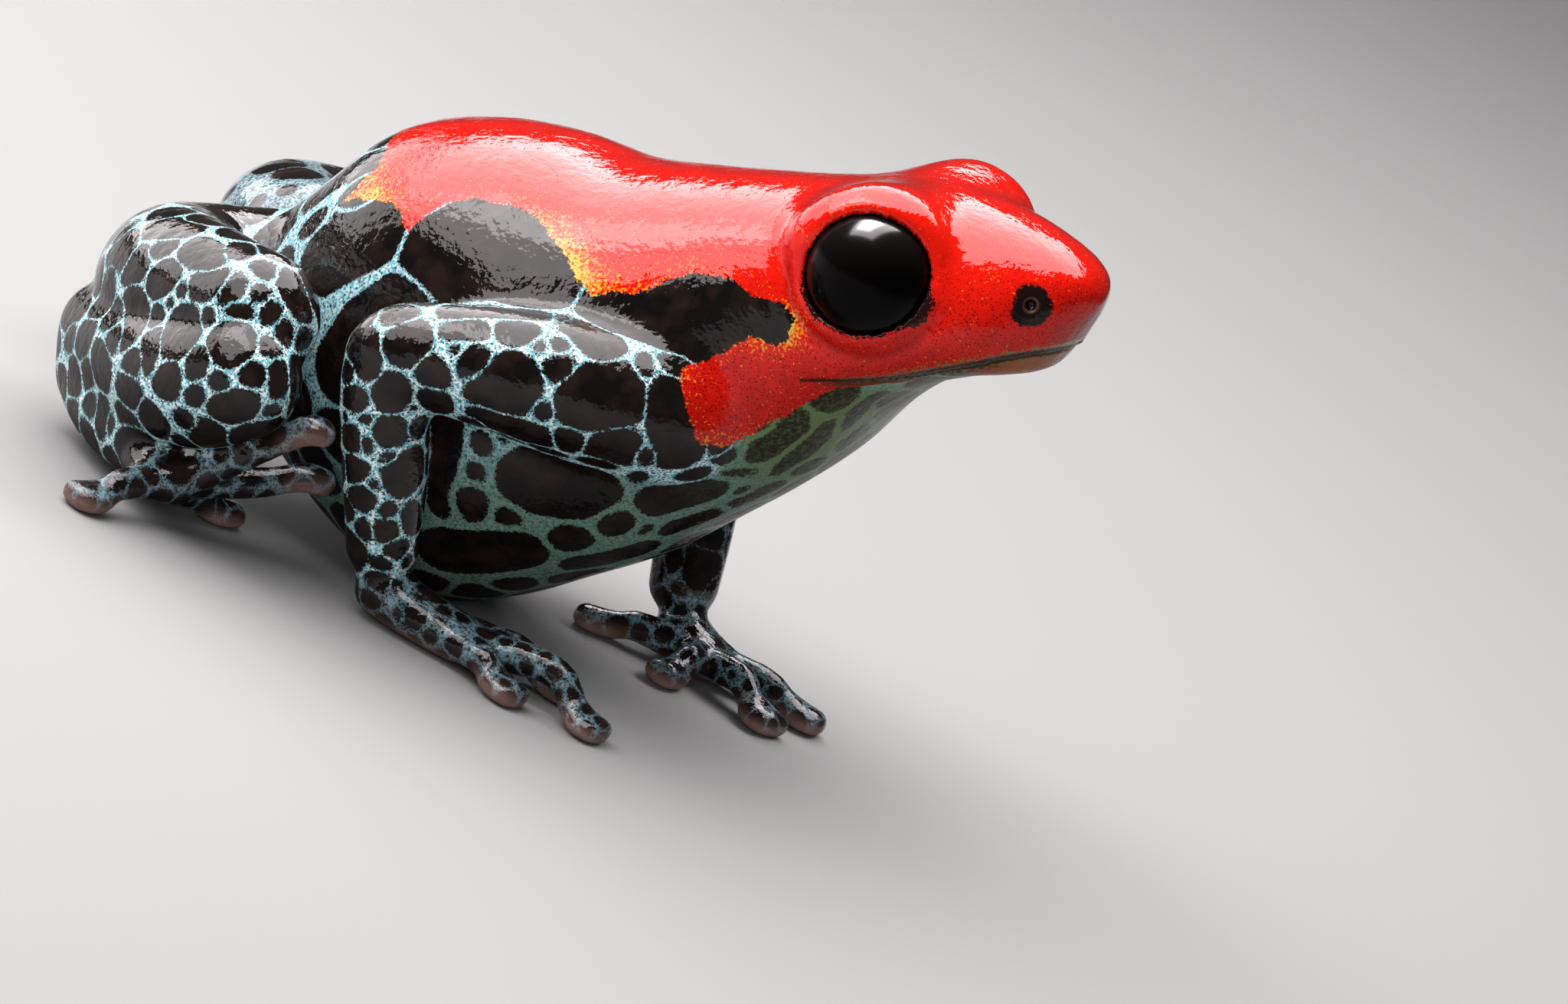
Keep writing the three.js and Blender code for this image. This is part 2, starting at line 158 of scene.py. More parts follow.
# Hands and feet: palm rows as above, then each digit by root, knuckle, tip and half its disc's width
handRows = {
    "hand_right": {
        "palm": [
            (-1.1, -4.6, 0.7, 0.6, 0.55), (0.1, -4.35, 0.5, 0.68, 0.5), (1.4, -4.1, 0.42, 0.72, 0.42),
        ],
        "digits": [
            ((0.7, -3.9, 0.45), (1.3, -3.2, 0.45), (1.7, -2.4, 0.24), 0.38),
            ((1.0, -3.8, 0.45), (1.9, -3.3, 0.6), (2.9, -2.9, 0.24), 0.42),
            ((1.2, -4.1, 0.45), (3.0, -3.95, 0.8), (4.15, -4.0, 0.24), 0.5),
            ((1.1, -4.4, 0.42), (1.9, -4.7, 0.5), (2.65, -4.8, 0.24), 0.46),
        ],
    },
    "hand_left": {
        "palm": [(1.5, 3.8, 0.65, 0.6, 0.55), (2.2, 3.5, 0.5, 0.68, 0.5), (3.1, 3.2, 0.42, 0.72, 0.42)],
        "digits": [
            ((2.2, 3.1, 0.45), (1.4, 2.7, 0.45), (0.7, 2.3, 0.24), 0.38),
            ((2.7, 3.0, 0.45), (2.8, 2.4, 0.5), (2.8, 1.7, 0.24), 0.42),
            ((2.9, 3.1, 0.45), (3.8, 2.75, 0.6), (4.75, 2.4, 0.24), 0.5),
            ((2.9, 3.5, 0.42), (3.9, 3.75, 0.5), (4.9, 3.95, 0.24), 0.46),
        ],
    },
    "foot_right": {
        "palm": [
            (-5.6, -6.0, 0.85, 0.6, 0.55), (-4.9, -6.35, 0.85, 0.66, 0.5), (-4.2, -6.4, 0.95, 0.6, 0.42),
        ],
        "digits": [
            ((-5.4, -5.9, 0.6), (-5.3, -5.2, 0.4), (-5.2, -4.5, 0.24), 0.34),
            ((-4.9, -6.1, 0.7), (-4.6, -5.2, 0.5), (-4.3, -4.4, 0.24), 0.36),
            ((-4.5, -6.1, 0.9), (-3.6, -5.2, 1.3), (-2.9, -4.35, 1.7), 0.38),
            ((-4.4, -6.4, 1.0), (-3.5, -6.0, 2.1), (-2.75, -5.45, 2.85), 0.42),
            ((-4.8, -6.6, 0.8), (-5.05, -7.5, 0.6), (-5.3, -8.15, 0.24), 0.46),
        ],
    },
    "foot_left": {
        "palm": [(-6.7, 6.0, 0.8, 0.6, 0.55), (-5.9, 6.35, 0.7, 0.66, 0.5), (-5.2, 6.4, 0.6, 0.6, 0.42)],
        "digits": [
            ((-6.1, 6.0, 0.55), (-5.8, 5.2, 0.4), (-5.5, 4.5, 0.24), 0.34),
            ((-5.8, 6.1, 0.55), (-5.1, 5.3, 0.45), (-4.5, 4.6, 0.24), 0.36),
            ((-5.4, 6.1, 0.55), (-4.4, 5.7, 0.6), (-3.4, 5.2, 0.24), 0.38),
            ((-5.3, 6.4, 0.55), (-3.8, 6.4, 0.7), (-2.4, 6.3, 0.24), 0.42),
            ((-5.8, 6.6, 0.55), (-5.7, 7.6, 0.5), (-5.6, 8.4, 0.24), 0.46),
        ],
    },
}
# Half widths and heights of a digit in millimetres, the width at its end as a share of its disc
digitShape = {
    "root": (0.36, 0.34), "knuckle": (0.3, 0.3), "neck": (0.27, 0.27),
    "neck back": (1.5, 1.5, 1.2), "pad back": (0.4, 0.4, 0),
    "disc height": 0.28, "disc reach": 0.4, "end share": 0.9, "end height": 0.24,
}
# How softly each part melts into the body, and which parts make a limb
softness = {
    "upper_arm": 0.45, "forearm": 0.35, "hand": 0.3, "thigh": 0.5, "shank": 0.16, "tarsus": 0.5,
    "foot": 0.25, "within a hand": 0.18, "floor": 0.06, "margin": 0.4,
}
groups = {
    "arm_right": ["upper_arm_right", "forearm_right", "hand_right"],
    "arm_left": ["upper_arm_left", "forearm_left", "hand_left"],
    "leg_right": ["thigh_right", "shank_right", "tarsus_right", "foot_right"],
    "leg_left": ["thigh_left", "shank_left", "tarsus_left", "foot_left"],
}


# Values of all columns of a table of rows, eased between the rows
def eased(rows, at):
    at = np.asarray(at, float)
    i = np.clip(np.searchsorted(rows[:, 0], at, side="right") - 1, 0, len(rows) - 2)
    before, after = np.maximum(i - 1, 0), np.minimum(i + 2, len(rows) - 1)
    step = (rows[i + 1, 0] - rows[i, 0])[..., None]
    t = np.clip((at[..., None] - rows[i, :1]) / step, 0, 1)
    slopeFrom = (rows[i + 1] - rows[before]) / (rows[i + 1, :1] - rows[before, :1]) * step
    slopeTo = (rows[after] - rows[i]) / (rows[after, :1] - rows[i, :1]) * step
    t2, t3 = t * t, t * t * t
    value = (2 * t3 - 3 * t2 + 1) * rows[i] + (t3 - 2 * t2 + t) * slopeFrom
    return value + (3 * t2 - 2 * t3) * rows[i + 1] + (t3 - t2) * slopeTo


def smoothStep(low, high, value):
    t = np.clip((value - low) / (high - low), 0, 1)
    return t * t * (3 - 2 * t)


def smoothLower(a, b, width):
    h = np.clip(1 - np.abs(a - b) / width, 0, None)
    return np.minimum(a, b) - h * h * width / 4


def smoothHigher(a, b, width):
    return -smoothLower(-a, -b, width)


# What is over zero, eased in over a width
def softened(value, width):
    easedIn = np.where(value < -width, 0, (value + width) ** 2 / (4 * width))
    return np.where(value > width, value, easedIn)


# Distance to the trunk with the head, below zero inside
def bodyDistance(points):
    along, side, up = poseToBody(points).T
    table = np.linspace(-3, 20, 700)
    columns = eased(bodyProfile, table)
    setBack = trunk["muzzle set back"] * smoothStep(trunk["muzzle from"], trunk["muzzle to"], along)
    middle = np.interp(along, table, columns[:, 2])
    setAhead = along + setBack * softened(middle - up, trunk["muzzle softness"])
    top, middle, bottom, half = (np.interp(setAhead, table, columns[:, c]) for c in (1, 2, 3, 4))
    reach = np.where(up > middle, top - middle, middle - bottom)
    power = 2 / trunk["squareness"]
    share = (np.abs(side / half) ** power + np.abs((up - middle) / reach) ** power) ** (1 / power)
    spread = np.hypot(side, up - middle)
    across = spread * (1 - 1 / np.maximum(share, 1e-3))
    across = np.where(share < 0.2, -0.8 * np.minimum(half, reach), across)
    ends = np.maximum(bodyProfile[0, 0] - setAhead, setAhead - bodyProfile[-1, 0])
    return smoothHigher(across, ends, trunk["end rounding"])


# A limb as samples along its curve: places, headings, half widths and heights
def limbSamples(rows, count):
    rows = np.array(rows, float)
    padded = np.vstack([2 * rows[0] - rows[1], rows, 2 * rows[-1] - rows[-2]])
    t = np.linspace(0, len(rows) - 1, count)
    i = np.minimum(t.astype(int), len(rows) - 2)
    f = (t - i)[:, None]
    a, b, c, d = padded[i], padded[i + 1], padded[i + 2], padded[i + 3]
    square, cube = 2 * a - 5 * b + 4 * c - d, 3 * b - a - 3 * c + d
    return 0.5 * (2 * b + (c - a) * f + square * f**2 + cube * f**3)


def digitRows(root, knuckle, tip, disc):
    root, knuckle, tip = (np.array(p, float) for p in (root, knuckle, tip))
    ahead = (tip - knuckle) / np.linalg.norm(tip - knuckle) * digitShape["disc reach"]
    neck, pad = tip - ahead * digitShape["neck back"], tip - ahead * digitShape["pad back"]
    end = tip + ahead * (1, 1, 0)
    return [
        (*root, *digitShape["root"]), (*knuckle, *digitShape["knuckle"]), (*neck, *digitShape["neck"]),
        (*pad, disc, digitShape["disc height"]),
        (*end, disc * digitShape["end share"], digitShape["end height"]),
    ]


# Shortens a limb's samples so that its round ends stop where the curve does
def shortened(samples):
    places = samples[:, :3]
    length = np.concatenate([[0], np.cumsum(np.linalg.norm(np.diff(places, axis=0), axis=1))])
    first, last = 0.9 * samples[0, 3:].min(), length[-1] - 0.9 * samples[-1, 3:].min()
    at = np.linspace(first, max(last, first + 0.05), len(samples))
    return np.stack([np.interp(at, length, samples[:, c]) for c in range(5)], axis=1)


def limbDistance(points, samples):
    best = np.full(len(points), 1e3)
    vertical = np.array([0, 0, 1.0])
    for a, b in zip(samples[:-1], samples[1:]):
        run = b[:3] - a[:3]
        size = run @ run
        heading = run / math.sqrt(size)
        across = np.cross(vertical, heading)
        across /= max(np.linalg.norm(across), 1e-6)
        over = np.cross(heading, across)
        offset = points - a[:3]
        t = np.clip(offset @ run / size, 0, 1)
        offset = offset - t[:, None] * run
        wide = a[3] + (b[3] - a[3]) * t
        high = a[4] + (b[4] - a[4]) * t
        least = np.minimum(wide, high)
        parts = offset @ across / wide, offset @ over / high, offset @ heading / least
        share = np.sqrt(sum(part**2 for part in parts))
        spread = np.linalg.norm(offset, axis=1)
        distance = (share - 1) * (spread + 1e-4) / (share + 1e-4 / least)
        best = np.minimum(best, distance)
    return best


sampleCount = {"limb": 15, "palm": 9, "digit": 14}
limbs = {name: shortened(limbSamples(rows, sampleCount["limb"])) for name, rows in limbRows.items()}
for name, hand in handRows.items():
    limbs[f"{name} palm"] = shortened(limbSamples(hand["palm"], sampleCount["palm"]))
    for i, row in enumerate(hand["digits"]):
        limbs[f"{name} digit {i}"] = shortened(limbSamples(digitRows(*row), sampleCount["digit"]))

# Grid that is finer around the head and close to the floor, with coarse, fine and sideways fine steps
grid = {
    "steps": (0.133, 0.082, 0.095), "quick steps": (0.16, 0.12, 0.12),
    "x": (-11.9, 8.9), "fine x": (3.2, 8.9), "y": (-9.0, 9.2), "fine y": (-4.2, 4.0),
    "z": (-0.35, 12.9), "fine z": (7.6, 12.9), "fine over the floor": 1.2, "blend": 1.2,
}


def gradedAxis(name, coarse, fine):
    at, high = grid[name]
    fineFrom, fineTo = grid[f"fine {name}"]
    places = [at]
    while at < high:
        outside = max(fineFrom - at, at - fineTo, 0)
        at += fine + (coarse - fine) * min(outside / grid["blend"], 1)
        places.append(at)
    return np.array(places)


coarse, fine, fineAcross = grid["steps"]
xs, ys = gradedAxis("x", coarse, fine), gradedAxis("y", coarse, fineAcross)
zs = gradedAxis("z", coarse, fine)
floorZone = grid["fine over the floor"]
zs = np.concatenate([np.arange(grid["z"][0], floorZone, fine), zs[zs > floorZone + fine * 0.5]])
shape = (len(xs), len(ys), len(zs))
print("grid", shape)


def gridWindow(low, high):
    return tuple(slice(max(np.searchsorted(axis, a) - 1, 0), np.searchsorted(axis, b) + 1)
                 for axis, a, b in zip((xs, ys, zs), low, high))


def windowPoints(window):
    mesh = np.meshgrid(xs[window[0]], ys[window[1]], zs[window[2]], indexing="ij")
    return np.stack([m.ravel() for m in mesh], axis=1), mesh[0].shape


field = np.full(shape, 3.0, np.float32)
window = gridWindow(trunk["low corner"], trunk["high corner"])
points, size = windowPoints(window)
field[window] = bodyDistance(points).reshape(size)
for group, names in groups.items():
    for name in names:
        pieces = [key for key in limbs if key.split(" ")[0] == name]
        width = softness[name.rsplit("_", 1)[0]]
        whole = None
        samples = np.vstack([limbs[key] for key in pieces])
        margin = samples[:, 3:].max() + width + softness["margin"]
        window = gridWindow(samples[:, :3].min(0) - margin, samples[:, :3].max(0) + margin)
        points, size = windowPoints(window)
        for key in pieces:
            distance = limbDistance(points, limbs[key]).reshape(size)
            whole = distance if whole is None else smoothLower(whole, distance, softness["within a hand"])
        field[window] = smoothLower(field[window], whole.astype(np.float32), width)
print("limbs joined to the body")

# Lids and sockets, the direction they face as outward, forward, up
lids = {
    "faces": (0.95, 0.22, 0.2), "corner rim": 0.26, "rim above": 0.32, "rim below": 0.22,
    "thickness": 0.1, "thicker above": 0.3, "rim rounding": 0.14, "rounder above": 0.26,
    "melt": 0.4, "melt above": 0.75, "clear of the eye": 0.01, "reach": 2.2, "socket edge": 0.04,
    "thicker from": (-0.2, 1.0), "rounder from": (0.1, 1.0), "melts from": (-0.1, 0.8),
}
for name, sign in (("left", 1), ("right", -1)):
    middle = eyeMiddles[name]
    window = gridWindow(middle - lids["reach"], middle + lids["reach"])
    points, size = windowPoints(window)
    fromEye = np.linalg.norm(points - middle, axis=1)
    axis = np.array(lids["faces"]) @ [left * sign, forward, dorsal]
    outward = (points - middle) @ (axis / np.linalg.norm(axis))
    fromAxis = np.sqrt(np.maximum(fromEye**2 - outward**2, 1e-6))
    rise = np.clip((points - middle) @ dorsal / fromAxis, -1, 1)
    rim = lids["corner rim"] + np.where(rise > 0, lids["rim above"], lids["rim below"]) * rise**2
    thickness = lids["thickness"] + lids["thicker above"] * smoothStep(*lids["thicker from"], rise)
    rounding = lids["rim rounding"] + lids["rounder above"] * smoothStep(*lids["rounder from"], rise)
    lid = smoothHigher(fromEye - (pose["eye radius"] + thickness), outward - rim, rounding)
    melt = lids["melt"] + lids["melt above"] * smoothStep(*lids["melts from"], rise)
    part = smoothLower(field[window].ravel(), lid, melt)
    socket = pose["eye radius"] + lids["clear of the eye"]
    part = smoothHigher(part, socket - fromEye, lids["socket edge"])
    field[window] = part.reshape(size)

# The floor flattens what rests on it
field = smoothHigher(field, -zs.astype(np.float32)[None, None, :], softness["floor"])

corners = [(i, j, k) for i in (0, 1) for j in (0, 1) for k in (0, 1)]


# Surface of the field as a net of quads, one point in each cell that the surface crosses
def surfaceNet(values):
    inside = values < 0
    ni, nj, nk = (n - 1 for n in values.shape)
    count = np.zeros((ni, nj, nk), np.int8)
    for i, j, k in corners:
        count += inside[i:i + ni, j:j + nj, k:k + nk]
    index = np.full(count.shape, -1, np.int64)
    ci, cj, ck = np.nonzero((count > 0) & (count < 8))
    index[ci, cj, ck] = np.arange(len(ci))
    cornerValue = {c: values[ci + c[0], cj + c[1], ck + c[2]] for c in corners}
    total, hits = np.zeros((len(ci), 3)), np.zeros(len(ci))
    for a in corners:
        for axis in range(3):
            if a[axis] == 0:
                b = tuple(1 if n == axis else a[n] for n in range(3))
                va, vb = cornerValue[a], cornerValue[b]
                crossing = (va < 0) != (vb < 0)
                t = np.where(crossing, va / np.where(va == vb, 1, va - vb), 0)
                place = np.tile(np.array(a, float), (len(ci), 1))
                place[:, axis] = t
                total += np.where(crossing[:, None], place, 0)
                hits += crossing
    local = total / hits[:, None]
    places = np.stack([
        axis[c] + (axis[c + 1] - axis[c]) * local[:, n]
        for n, (axis, c) in enumerate(((xs, ci), (ys, cj), (zs, ck)))
    ], axis=1)
    quads = []
    for axis in range(3):
        u, v = (axis + 1) % 3, (axis + 2) % 3
        near = np.moveaxis(inside, (axis, u, v), (0, 1, 2))
        cellIndex = np.moveaxis(index, (axis, u, v), (0, 1, 2))
        changed = near[:-1, 1:-1, 1:-1] != near[1:, 1:-1, 1:-1]
        i, j, k = np.nonzero(changed)
        j, k = j + 1, k + 1
        around = ((j - 1, k - 1), (j, k - 1), (j, k), (j - 1, k))
        quad = np.stack([cellIndex[i, b, c] for b, c in around], axis=1)
        turned = ~near[i, j, k]
        quad[turned] = quad[turned][:, ::-1]
        quads.append(quad)
    return places, np.vstack(quads)


# Value and gradient of the field at any point
def trilinear(arrays, points):
    where, part = [], []
    for n, axis in enumerate((xs, ys, zs)):
        c = np.clip(np.searchsorted(axis, points[:, n]) - 1, 0, len(axis) - 2)
        where.append(c)
        part.append(((points[:, n] - axis[c]) / (axis[c + 1] - axis[c])))
    result = np.zeros((len(points), len(arrays)))
    for i, j, k in corners:
        weight = (part[0] if i else 1 - part[0]) * (part[1] if j else 1 - part[1])
        weight = weight * (part[2] if k else 1 - part[2])
        for n, array in enumerate(arrays):
            result[:, n] += weight * array[where[0] + i, where[1] + j, where[2] + k]
    return result


places, quads = surfaceNet(field)
slopes = np.gradient(field, xs, ys, zs)
edges = np.vstack([quads[:, pair] for pair in ([0, 1], [1, 2], [2, 3], [3, 0])])
edges = np.unique(np.sort(edges, axis=1), axis=0)
valence = np.bincount(edges.ravel(), minlength=len(places)).astype(float)


def neighbourMean(values):
    total = np.zeros_like(values)
    np.add.at(total, edges[:, 0], values[edges[:, 1]])
    np.add.at(total, edges[:, 1], values[edges[:, 0]])
    return total / valence[:, None]


# Evens out a value over the surface
def evened(values, turns, share):
    for turn in range(turns):
        values = (1 - share) * values + share * neighbourMean(values[:, None])[:, 0]
    return values


# Directions of the net's own points, from the quads around each
def netNormals(points):
    a, b, c, d = (points[quads[:, i]] for i in range(4))
    face = np.cross(c - a, d - b)
    total = np.zeros_like(points)
    for i in range(4):
        np.add.at(total, quads[:, i], face)
    return total / np.maximum(np.linalg.norm(total, axis=1), 1e-9)[:, None]


# The points move onto the surface and spread evenly over it
settling = {"turns": 3, "longest step": 0.08, "pull": 0.6}
for turn in range(settling["turns"]):
    sampled = trilinear([field, *slopes], places)
    slope = sampled[:, 1:]
    steep = (slope**2).sum(1)
    step = np.clip(sampled[:, :1], -settling["longest step"], settling["longest step"])
    places -= step * slope / np.maximum(steep, 0.1)[:, None]
    normals = slope / np.sqrt(np.maximum(steep, 1e-6))[:, None]
    if turn < settling["turns"] - 1:
        pull = neighbourMean(places) - places
        places += settling["pull"] * (pull - (pull * normals).sum(1)[:, None] * normals)
print("skin surface", len(places), "points", len(quads), "quads")

# Markings: black cells as (size, places along the cell), in millimetres, in a net of pale lines.
# Set on the skin by another program, which printed most of these numbers
cells = {
    "body": [
        (0.86, (-2.4, -4.4, 6.8), (-1.2, -4.1, 7.5), (-0.6, -4.15, 7.4)),
        (0.58, (-4.8, -3.9, 5.4), (-4.0, -4.1, 6.4)), (0.42, (-6.8, -2.9, 4.7), (-6.6, -2.5, 5.3)),
        (0.25, (-6.2, -2.5, 5.8), (-5.3, -2.8, 7.3)),
        (0.55, (-2.6, -4.5, 5.6), (-3.2, -4.5, 4.7), (-3.4, -4.3, 3.8)),
        (0.72, (1.2, -4.0, 7.4), (2.8, -3.6, 8.2), (3.9, -3.5, 8.6)),
        (0.61, (1.0, -4.1, 3.8), (1.9, -3.7, 4.0)), (0.32, (3.0, -2.8, 4.4), (3.7, -2.5, 5.0)),
        (0.26, (2.4, -2.9, 3.6)), (0.29, (1.8, -3.0, 2.9)), (0.13, (3.5, -3.5, 5.5), (4.0, -2.9, 5.8)),
        (0.22, (4.3, -2.5, 5.9), (4.8, -2.7, 6.8)), (0.12, (3.9, -2.6, 5.4), (4.3, -2.3, 5.7)),
        (0.16, (4.6, -1.9, 5.9), (5.3, -2.1, 7.0)), (0.18, (0.0, -4.3, 3.4)), (0.17, (0.0, -4.4, 4.0)),
        (0.36, (0.0, -4.0, 2.8)), (0.52, (-0.2, -3.3, 1.5), (0.9, -3.1, 2.1)),
        (0.23, (1.8, -2.1, 2.3), (2.6, -1.7, 3.1)), (0.17, (5.5, -1.8, 7.2), (6.0, -2.1, 7.9)),
        (0.14, (3.1, -1.9, 3.8), (3.6, -1.6, 4.3)), (0.12, (3.9, -1.5, 4.8), (4.4, -1.3, 5.3)),
        (0.31, (2.8, -3.7, 4.9)), (0.2, (-0.85, -4.5, 4.1), (-0.6, -4.4, 3.5), (-0.4, -4.0, 2.5)),
        (0.16, (0.3, -4.3, 4.4)),
    ],
    "arm_right": [
        (0.5, (0.5, -5.9, 5.6), (0.7, -5.9, 5.7)), (0.25, (1.2, -5.5, 6.3)),
        (0.56, (1.9, -5.3, 6.0), (2.2, -5.0, 6.2)), (0.41, (2.5, -4.6, 5.3)),
        (0.4, (3.0, -4.2, 6.5), (3.3, -3.9, 5.8)), (0.12, (1.3, -5.6, 5.5)),
        (0.19, (0.4, -5.7, 4.8), (1.3, -5.2, 4.9)), (0.21, (1.8, -5.1, 5.1)),
        (0.16, (-1.0, -5.7, 6.3), (0.1, -4.9, 6.8), (0.6, -4.8, 6.9)),
        (0.22, (0.5, -4.8, 6.9), (1.5, -4.8, 6.9)), (0.19, (0.0, -5.7, 6.5), (0.3, -5.5, 6.6)),
        (0.17, (-0.7, -6.0, 6.1), (-0.4, -5.9, 6.3)), (0.24, (-0.1, -6.1, 5.8)),
        (0.11, (0.7, -5.5, 6.5)), (0.37, (-0.7, -5.6, 3.1)), (0.27, (-0.4, -5.1, 2.3)),
        (0.23, (-0.6, -5.5, 1.9)), (0.3, (-1.2, -5.3, 1.2)), (0.17, (-0.4, -5.2, 1.6)),
        (0.18, (-0.3, -4.5, 1.7)), (0.22, (-1.2, -5.9, 2.3)), (0.17, (0.4, -5.0, 0.6)),
        (0.21, (-1.5, -6.0, 2.7)), (0.16, (-0.5, -5.1, 0.9)), (0.2, (0.3, -4.4, 1.0)),
        (0.21, (-0.5, -4.8, 2.6)), (0.2, (-0.7, -4.9, 3.4)), (0.2, (-0.7, -6.0, 4.7)),
        (0.15, (-1.0, -5.6, 1.7)), (0.34, (-1.35, -6.2, 4.5)), (0.26, (-1.1, -6.1, 3.75)),
        (0.22, (-1.9, -6.3, 4.1)), (0.2, (-1.75, -6.2, 3.3)),
        (0.22, (-2.2, -6.3, 5.0), (-1.9, -6.4, 4.7)), (0.3, (-1.4, -6.3, 5.4)),
    ],
    "leg_right": [
        (0.47, (-4.1, -7.7, 4.1)), (0.29, (-4.5, -7.8, 3.5)), (0.2, (-3.9, -7.9, 3.4)),
        (0.24, (-3.4, -7.7, 3.8)), (0.2, (-3.5, -7.3, 4.3)),
        (0.16, (-3.2, -7.3, 4.0), (-3.0, -7.3, 3.6)), (0.22, (-3.5, -6.9, 4.6)),
        (0.19, (-3.9, -7.1, 4.8)), (0.14, (-4.5, -7.4, 4.6), (-4.2, -7.3, 4.7)),
        (0.15, (-4.2, -7.2, 5.0)), (0.15, (-4.7, -7.4, 4.7), (-4.6, -7.3, 4.9)),
        (0.17, (-3.9, -6.6, 5.3), (-3.5, -6.5, 4.9)), (0.13, (-3.4, -6.5, 4.7), (-3.3, -6.5, 4.4)),
        (0.32, (-3.1, -6.6, 4.0), (-2.9, -6.5, 3.5)), (0.13, (-4.9, -7.4, 4.2)),
        (0.47, (-5.4, -7.3, 3.7), (-5.2, -7.4, 3.6)), (0.25, (-5.9, -7.2, 3.3), (-5.7, -7.4, 3.1)),
        (0.16, (-6.1, -6.8, 3.5)), (0.26, (-6.9, -6.3, 3.4), (-6.5, -6.7, 3.1)),
        (0.19, (-8.0, -5.6, 3.4), (-7.9, -5.5, 2.9)), (0.38, (-7.3, -6.1, 4.1)),
        (0.27, (-8.2, -5.4, 3.8), (-7.8, -5.7, 4.0)), (0.27, (-6.5, -6.6, 4.2), (-6.3, -6.7, 4.3)),
        (0.19, (-7.1, -6.1, 4.4), (-6.9, -6.2, 4.6)), (0.22, (-6.2, -6.5, 4.9), (-5.6, -6.8, 5.0)),
        (0.27, (-5.5, -7.1, 4.6), (-5.3, -7.2, 4.7)), (0.14, (-5.8, -7.0, 4.3)),
        (0.3, (-7.4, -5.6, 4.7), (-7.0, -5.7, 4.9)), (0.12, (-8.7, -4.7, 3.9)),
        (0.23, (-7.8, -5.8, 2.1)), (0.32, (-7.0, -6.4, 2.1)),
        (0.29, (-8.8, -4.7, 2.4), (-8.6, -5.0, 2.4)), (0.22, (-6.9, -6.5, 2.7)),
        (0.16, (-6.0, -7.2, 2.7)), (0.24, (-5.0, -7.7, 3.0)), (0.14, (-4.2, -7.8, 3.0)),
        (0.32, (-3.6, -7.8, 3.0), (-3.3, -7.7, 3.2)), (0.19, (-3.0, -7.3, 3.3)),
        (0.5, (-3.2, -7.0, 2.7)), (0.24, (-3.8, -7.4, 2.5), (-3.9, -7.1, 2.2)),
        (0.35, (-5.5, -6.7, 1.1)), (0.25, (-5.1, -7.1, 1.9)),
        (0.18, (-5.8, -6.5, 1.6), (-5.6, -6.7, 1.7)), (0.22, (-6.6, -6.1, 1.2)),
        (0.23, (-4.6, -6.7, 1.3)),
    ],
    "leg_left": [
        (0.15, (-9.8, 1.5, 4.1)), (0.16, (-8.7, 0.5, 4.5)), (0.24, (-9.0, 0.6, 3.8)),
        (0.17, (-8.3, 0.6, 5.0)), (0.1, (-9.9, 1.6, 3.6)),
    ],
    "arm_left": [(0.33, (1.8, 3.5, 1.9))],
}
# Cells that fill the rest: distance between them and half the width of the lines for each part
netting = {
    "body": (0.85, 0.04), "upper_arm": (0.7, 0.012), "forearm": (0.45, 0.0), "hand": (0.27, 0.01),
    "thigh": (0.85, 0.008), "shank": (0.8, 0.008), "tarsus": (0.5, 0.008), "foot": (0.3, 0.01),
    "growth": {"body": 0.17, "arm_right": 0.3, "leg_right": 0.32, "leg_left": 0.06, "arm_left": 0.3},
    "apart": {"body": 0.4, "arm_right": 0.25, "leg_right": 0.25, "leg_left": 0.9, "arm_left": 0.25},
    "seed": 11, "tries": 9000, "fill size": 0.3, "fill growth": 0.75, "sparse fill growth": 0.5,
    "rounding": 8.0, "wider on the belly": 0.03, "belly": (-2.6, -4.4), "channels": 6,
    "under the red": 0.4, "beside the red": (-0.5, -0.1), "reach": 1.6, "leaves its limb": 1.5,
    "free of the red": 0.3, "clear of the far arm": 0.25,
}
# Lower edge of the red, as distance from the vent, to the side, up, made in the same way
redEdgeRows = np.array([
    (4.0, 0.0, 2.35), (4.1, -1.2, 2.3), (4.4, -2.2, 1.8), (4.2, -2.25, 1.7), (3.95, -2.55, 1.4),
    (3.75, -2.65, 1.2), (4.45, -2.85, 1.25), (4.95, -3.0, 1.2), (5.45, -3.4, 0.6), (5.7, -3.3, 0.8),
    (5.95, -3.15, 1.0), (6.35, -3.0, 1.1), (6.8, -2.9, 1.1), (7.35, -2.9, 1.0), (7.85, -2.9, 0.75),
    (8.25, -3.05, 0.45), (8.5, -3.2, 0.1), (8.8, -3.35, -0.25), (8.95, -3.45, -0.5),
    (9.2, -3.45, -0.75), (9.55, -3.35, -0.7), (9.9, -3.3, -0.85), (10.35, -3.1, -0.67),
    (10.7, -2.95, -0.52), (11.1, -2.85, -0.49), (11.6, -2.8, -0.6), (12.0, -2.85, -0.8),
    (12.4, -2.9, -1.05), (12.85, -2.9, -1.2), (13.05, -2.95, -1.45), (12.9, -2.95, -1.85),
    (12.65, -2.95, -1.95), (12.45, -2.95, -1.85), (12.15, -2.95, -1.7), (11.8, -3.0, -1.95),
    (11.35, -3.1, -2.1), (10.9, -3.35, -2.2), (10.9, -3.55, -2.45), (11.0, -3.55, -2.85),
    (11.05, -3.45, -3.35), (11.05, -3.25, -3.65), (11.3, -2.85, -3.8), (11.65, -2.65, -3.7),
    (12.2, -2.6, -3.4), (12.95, -2.65, -3.1), (13.55, -2.65, -2.85), (14.7, -2.35, -2.85),
    (15.6, -2.0, -2.72), (16.1, -1.7, -2.9), (16.6, -1.2, -3.05), (16.8, 0.0, -3.05),
])
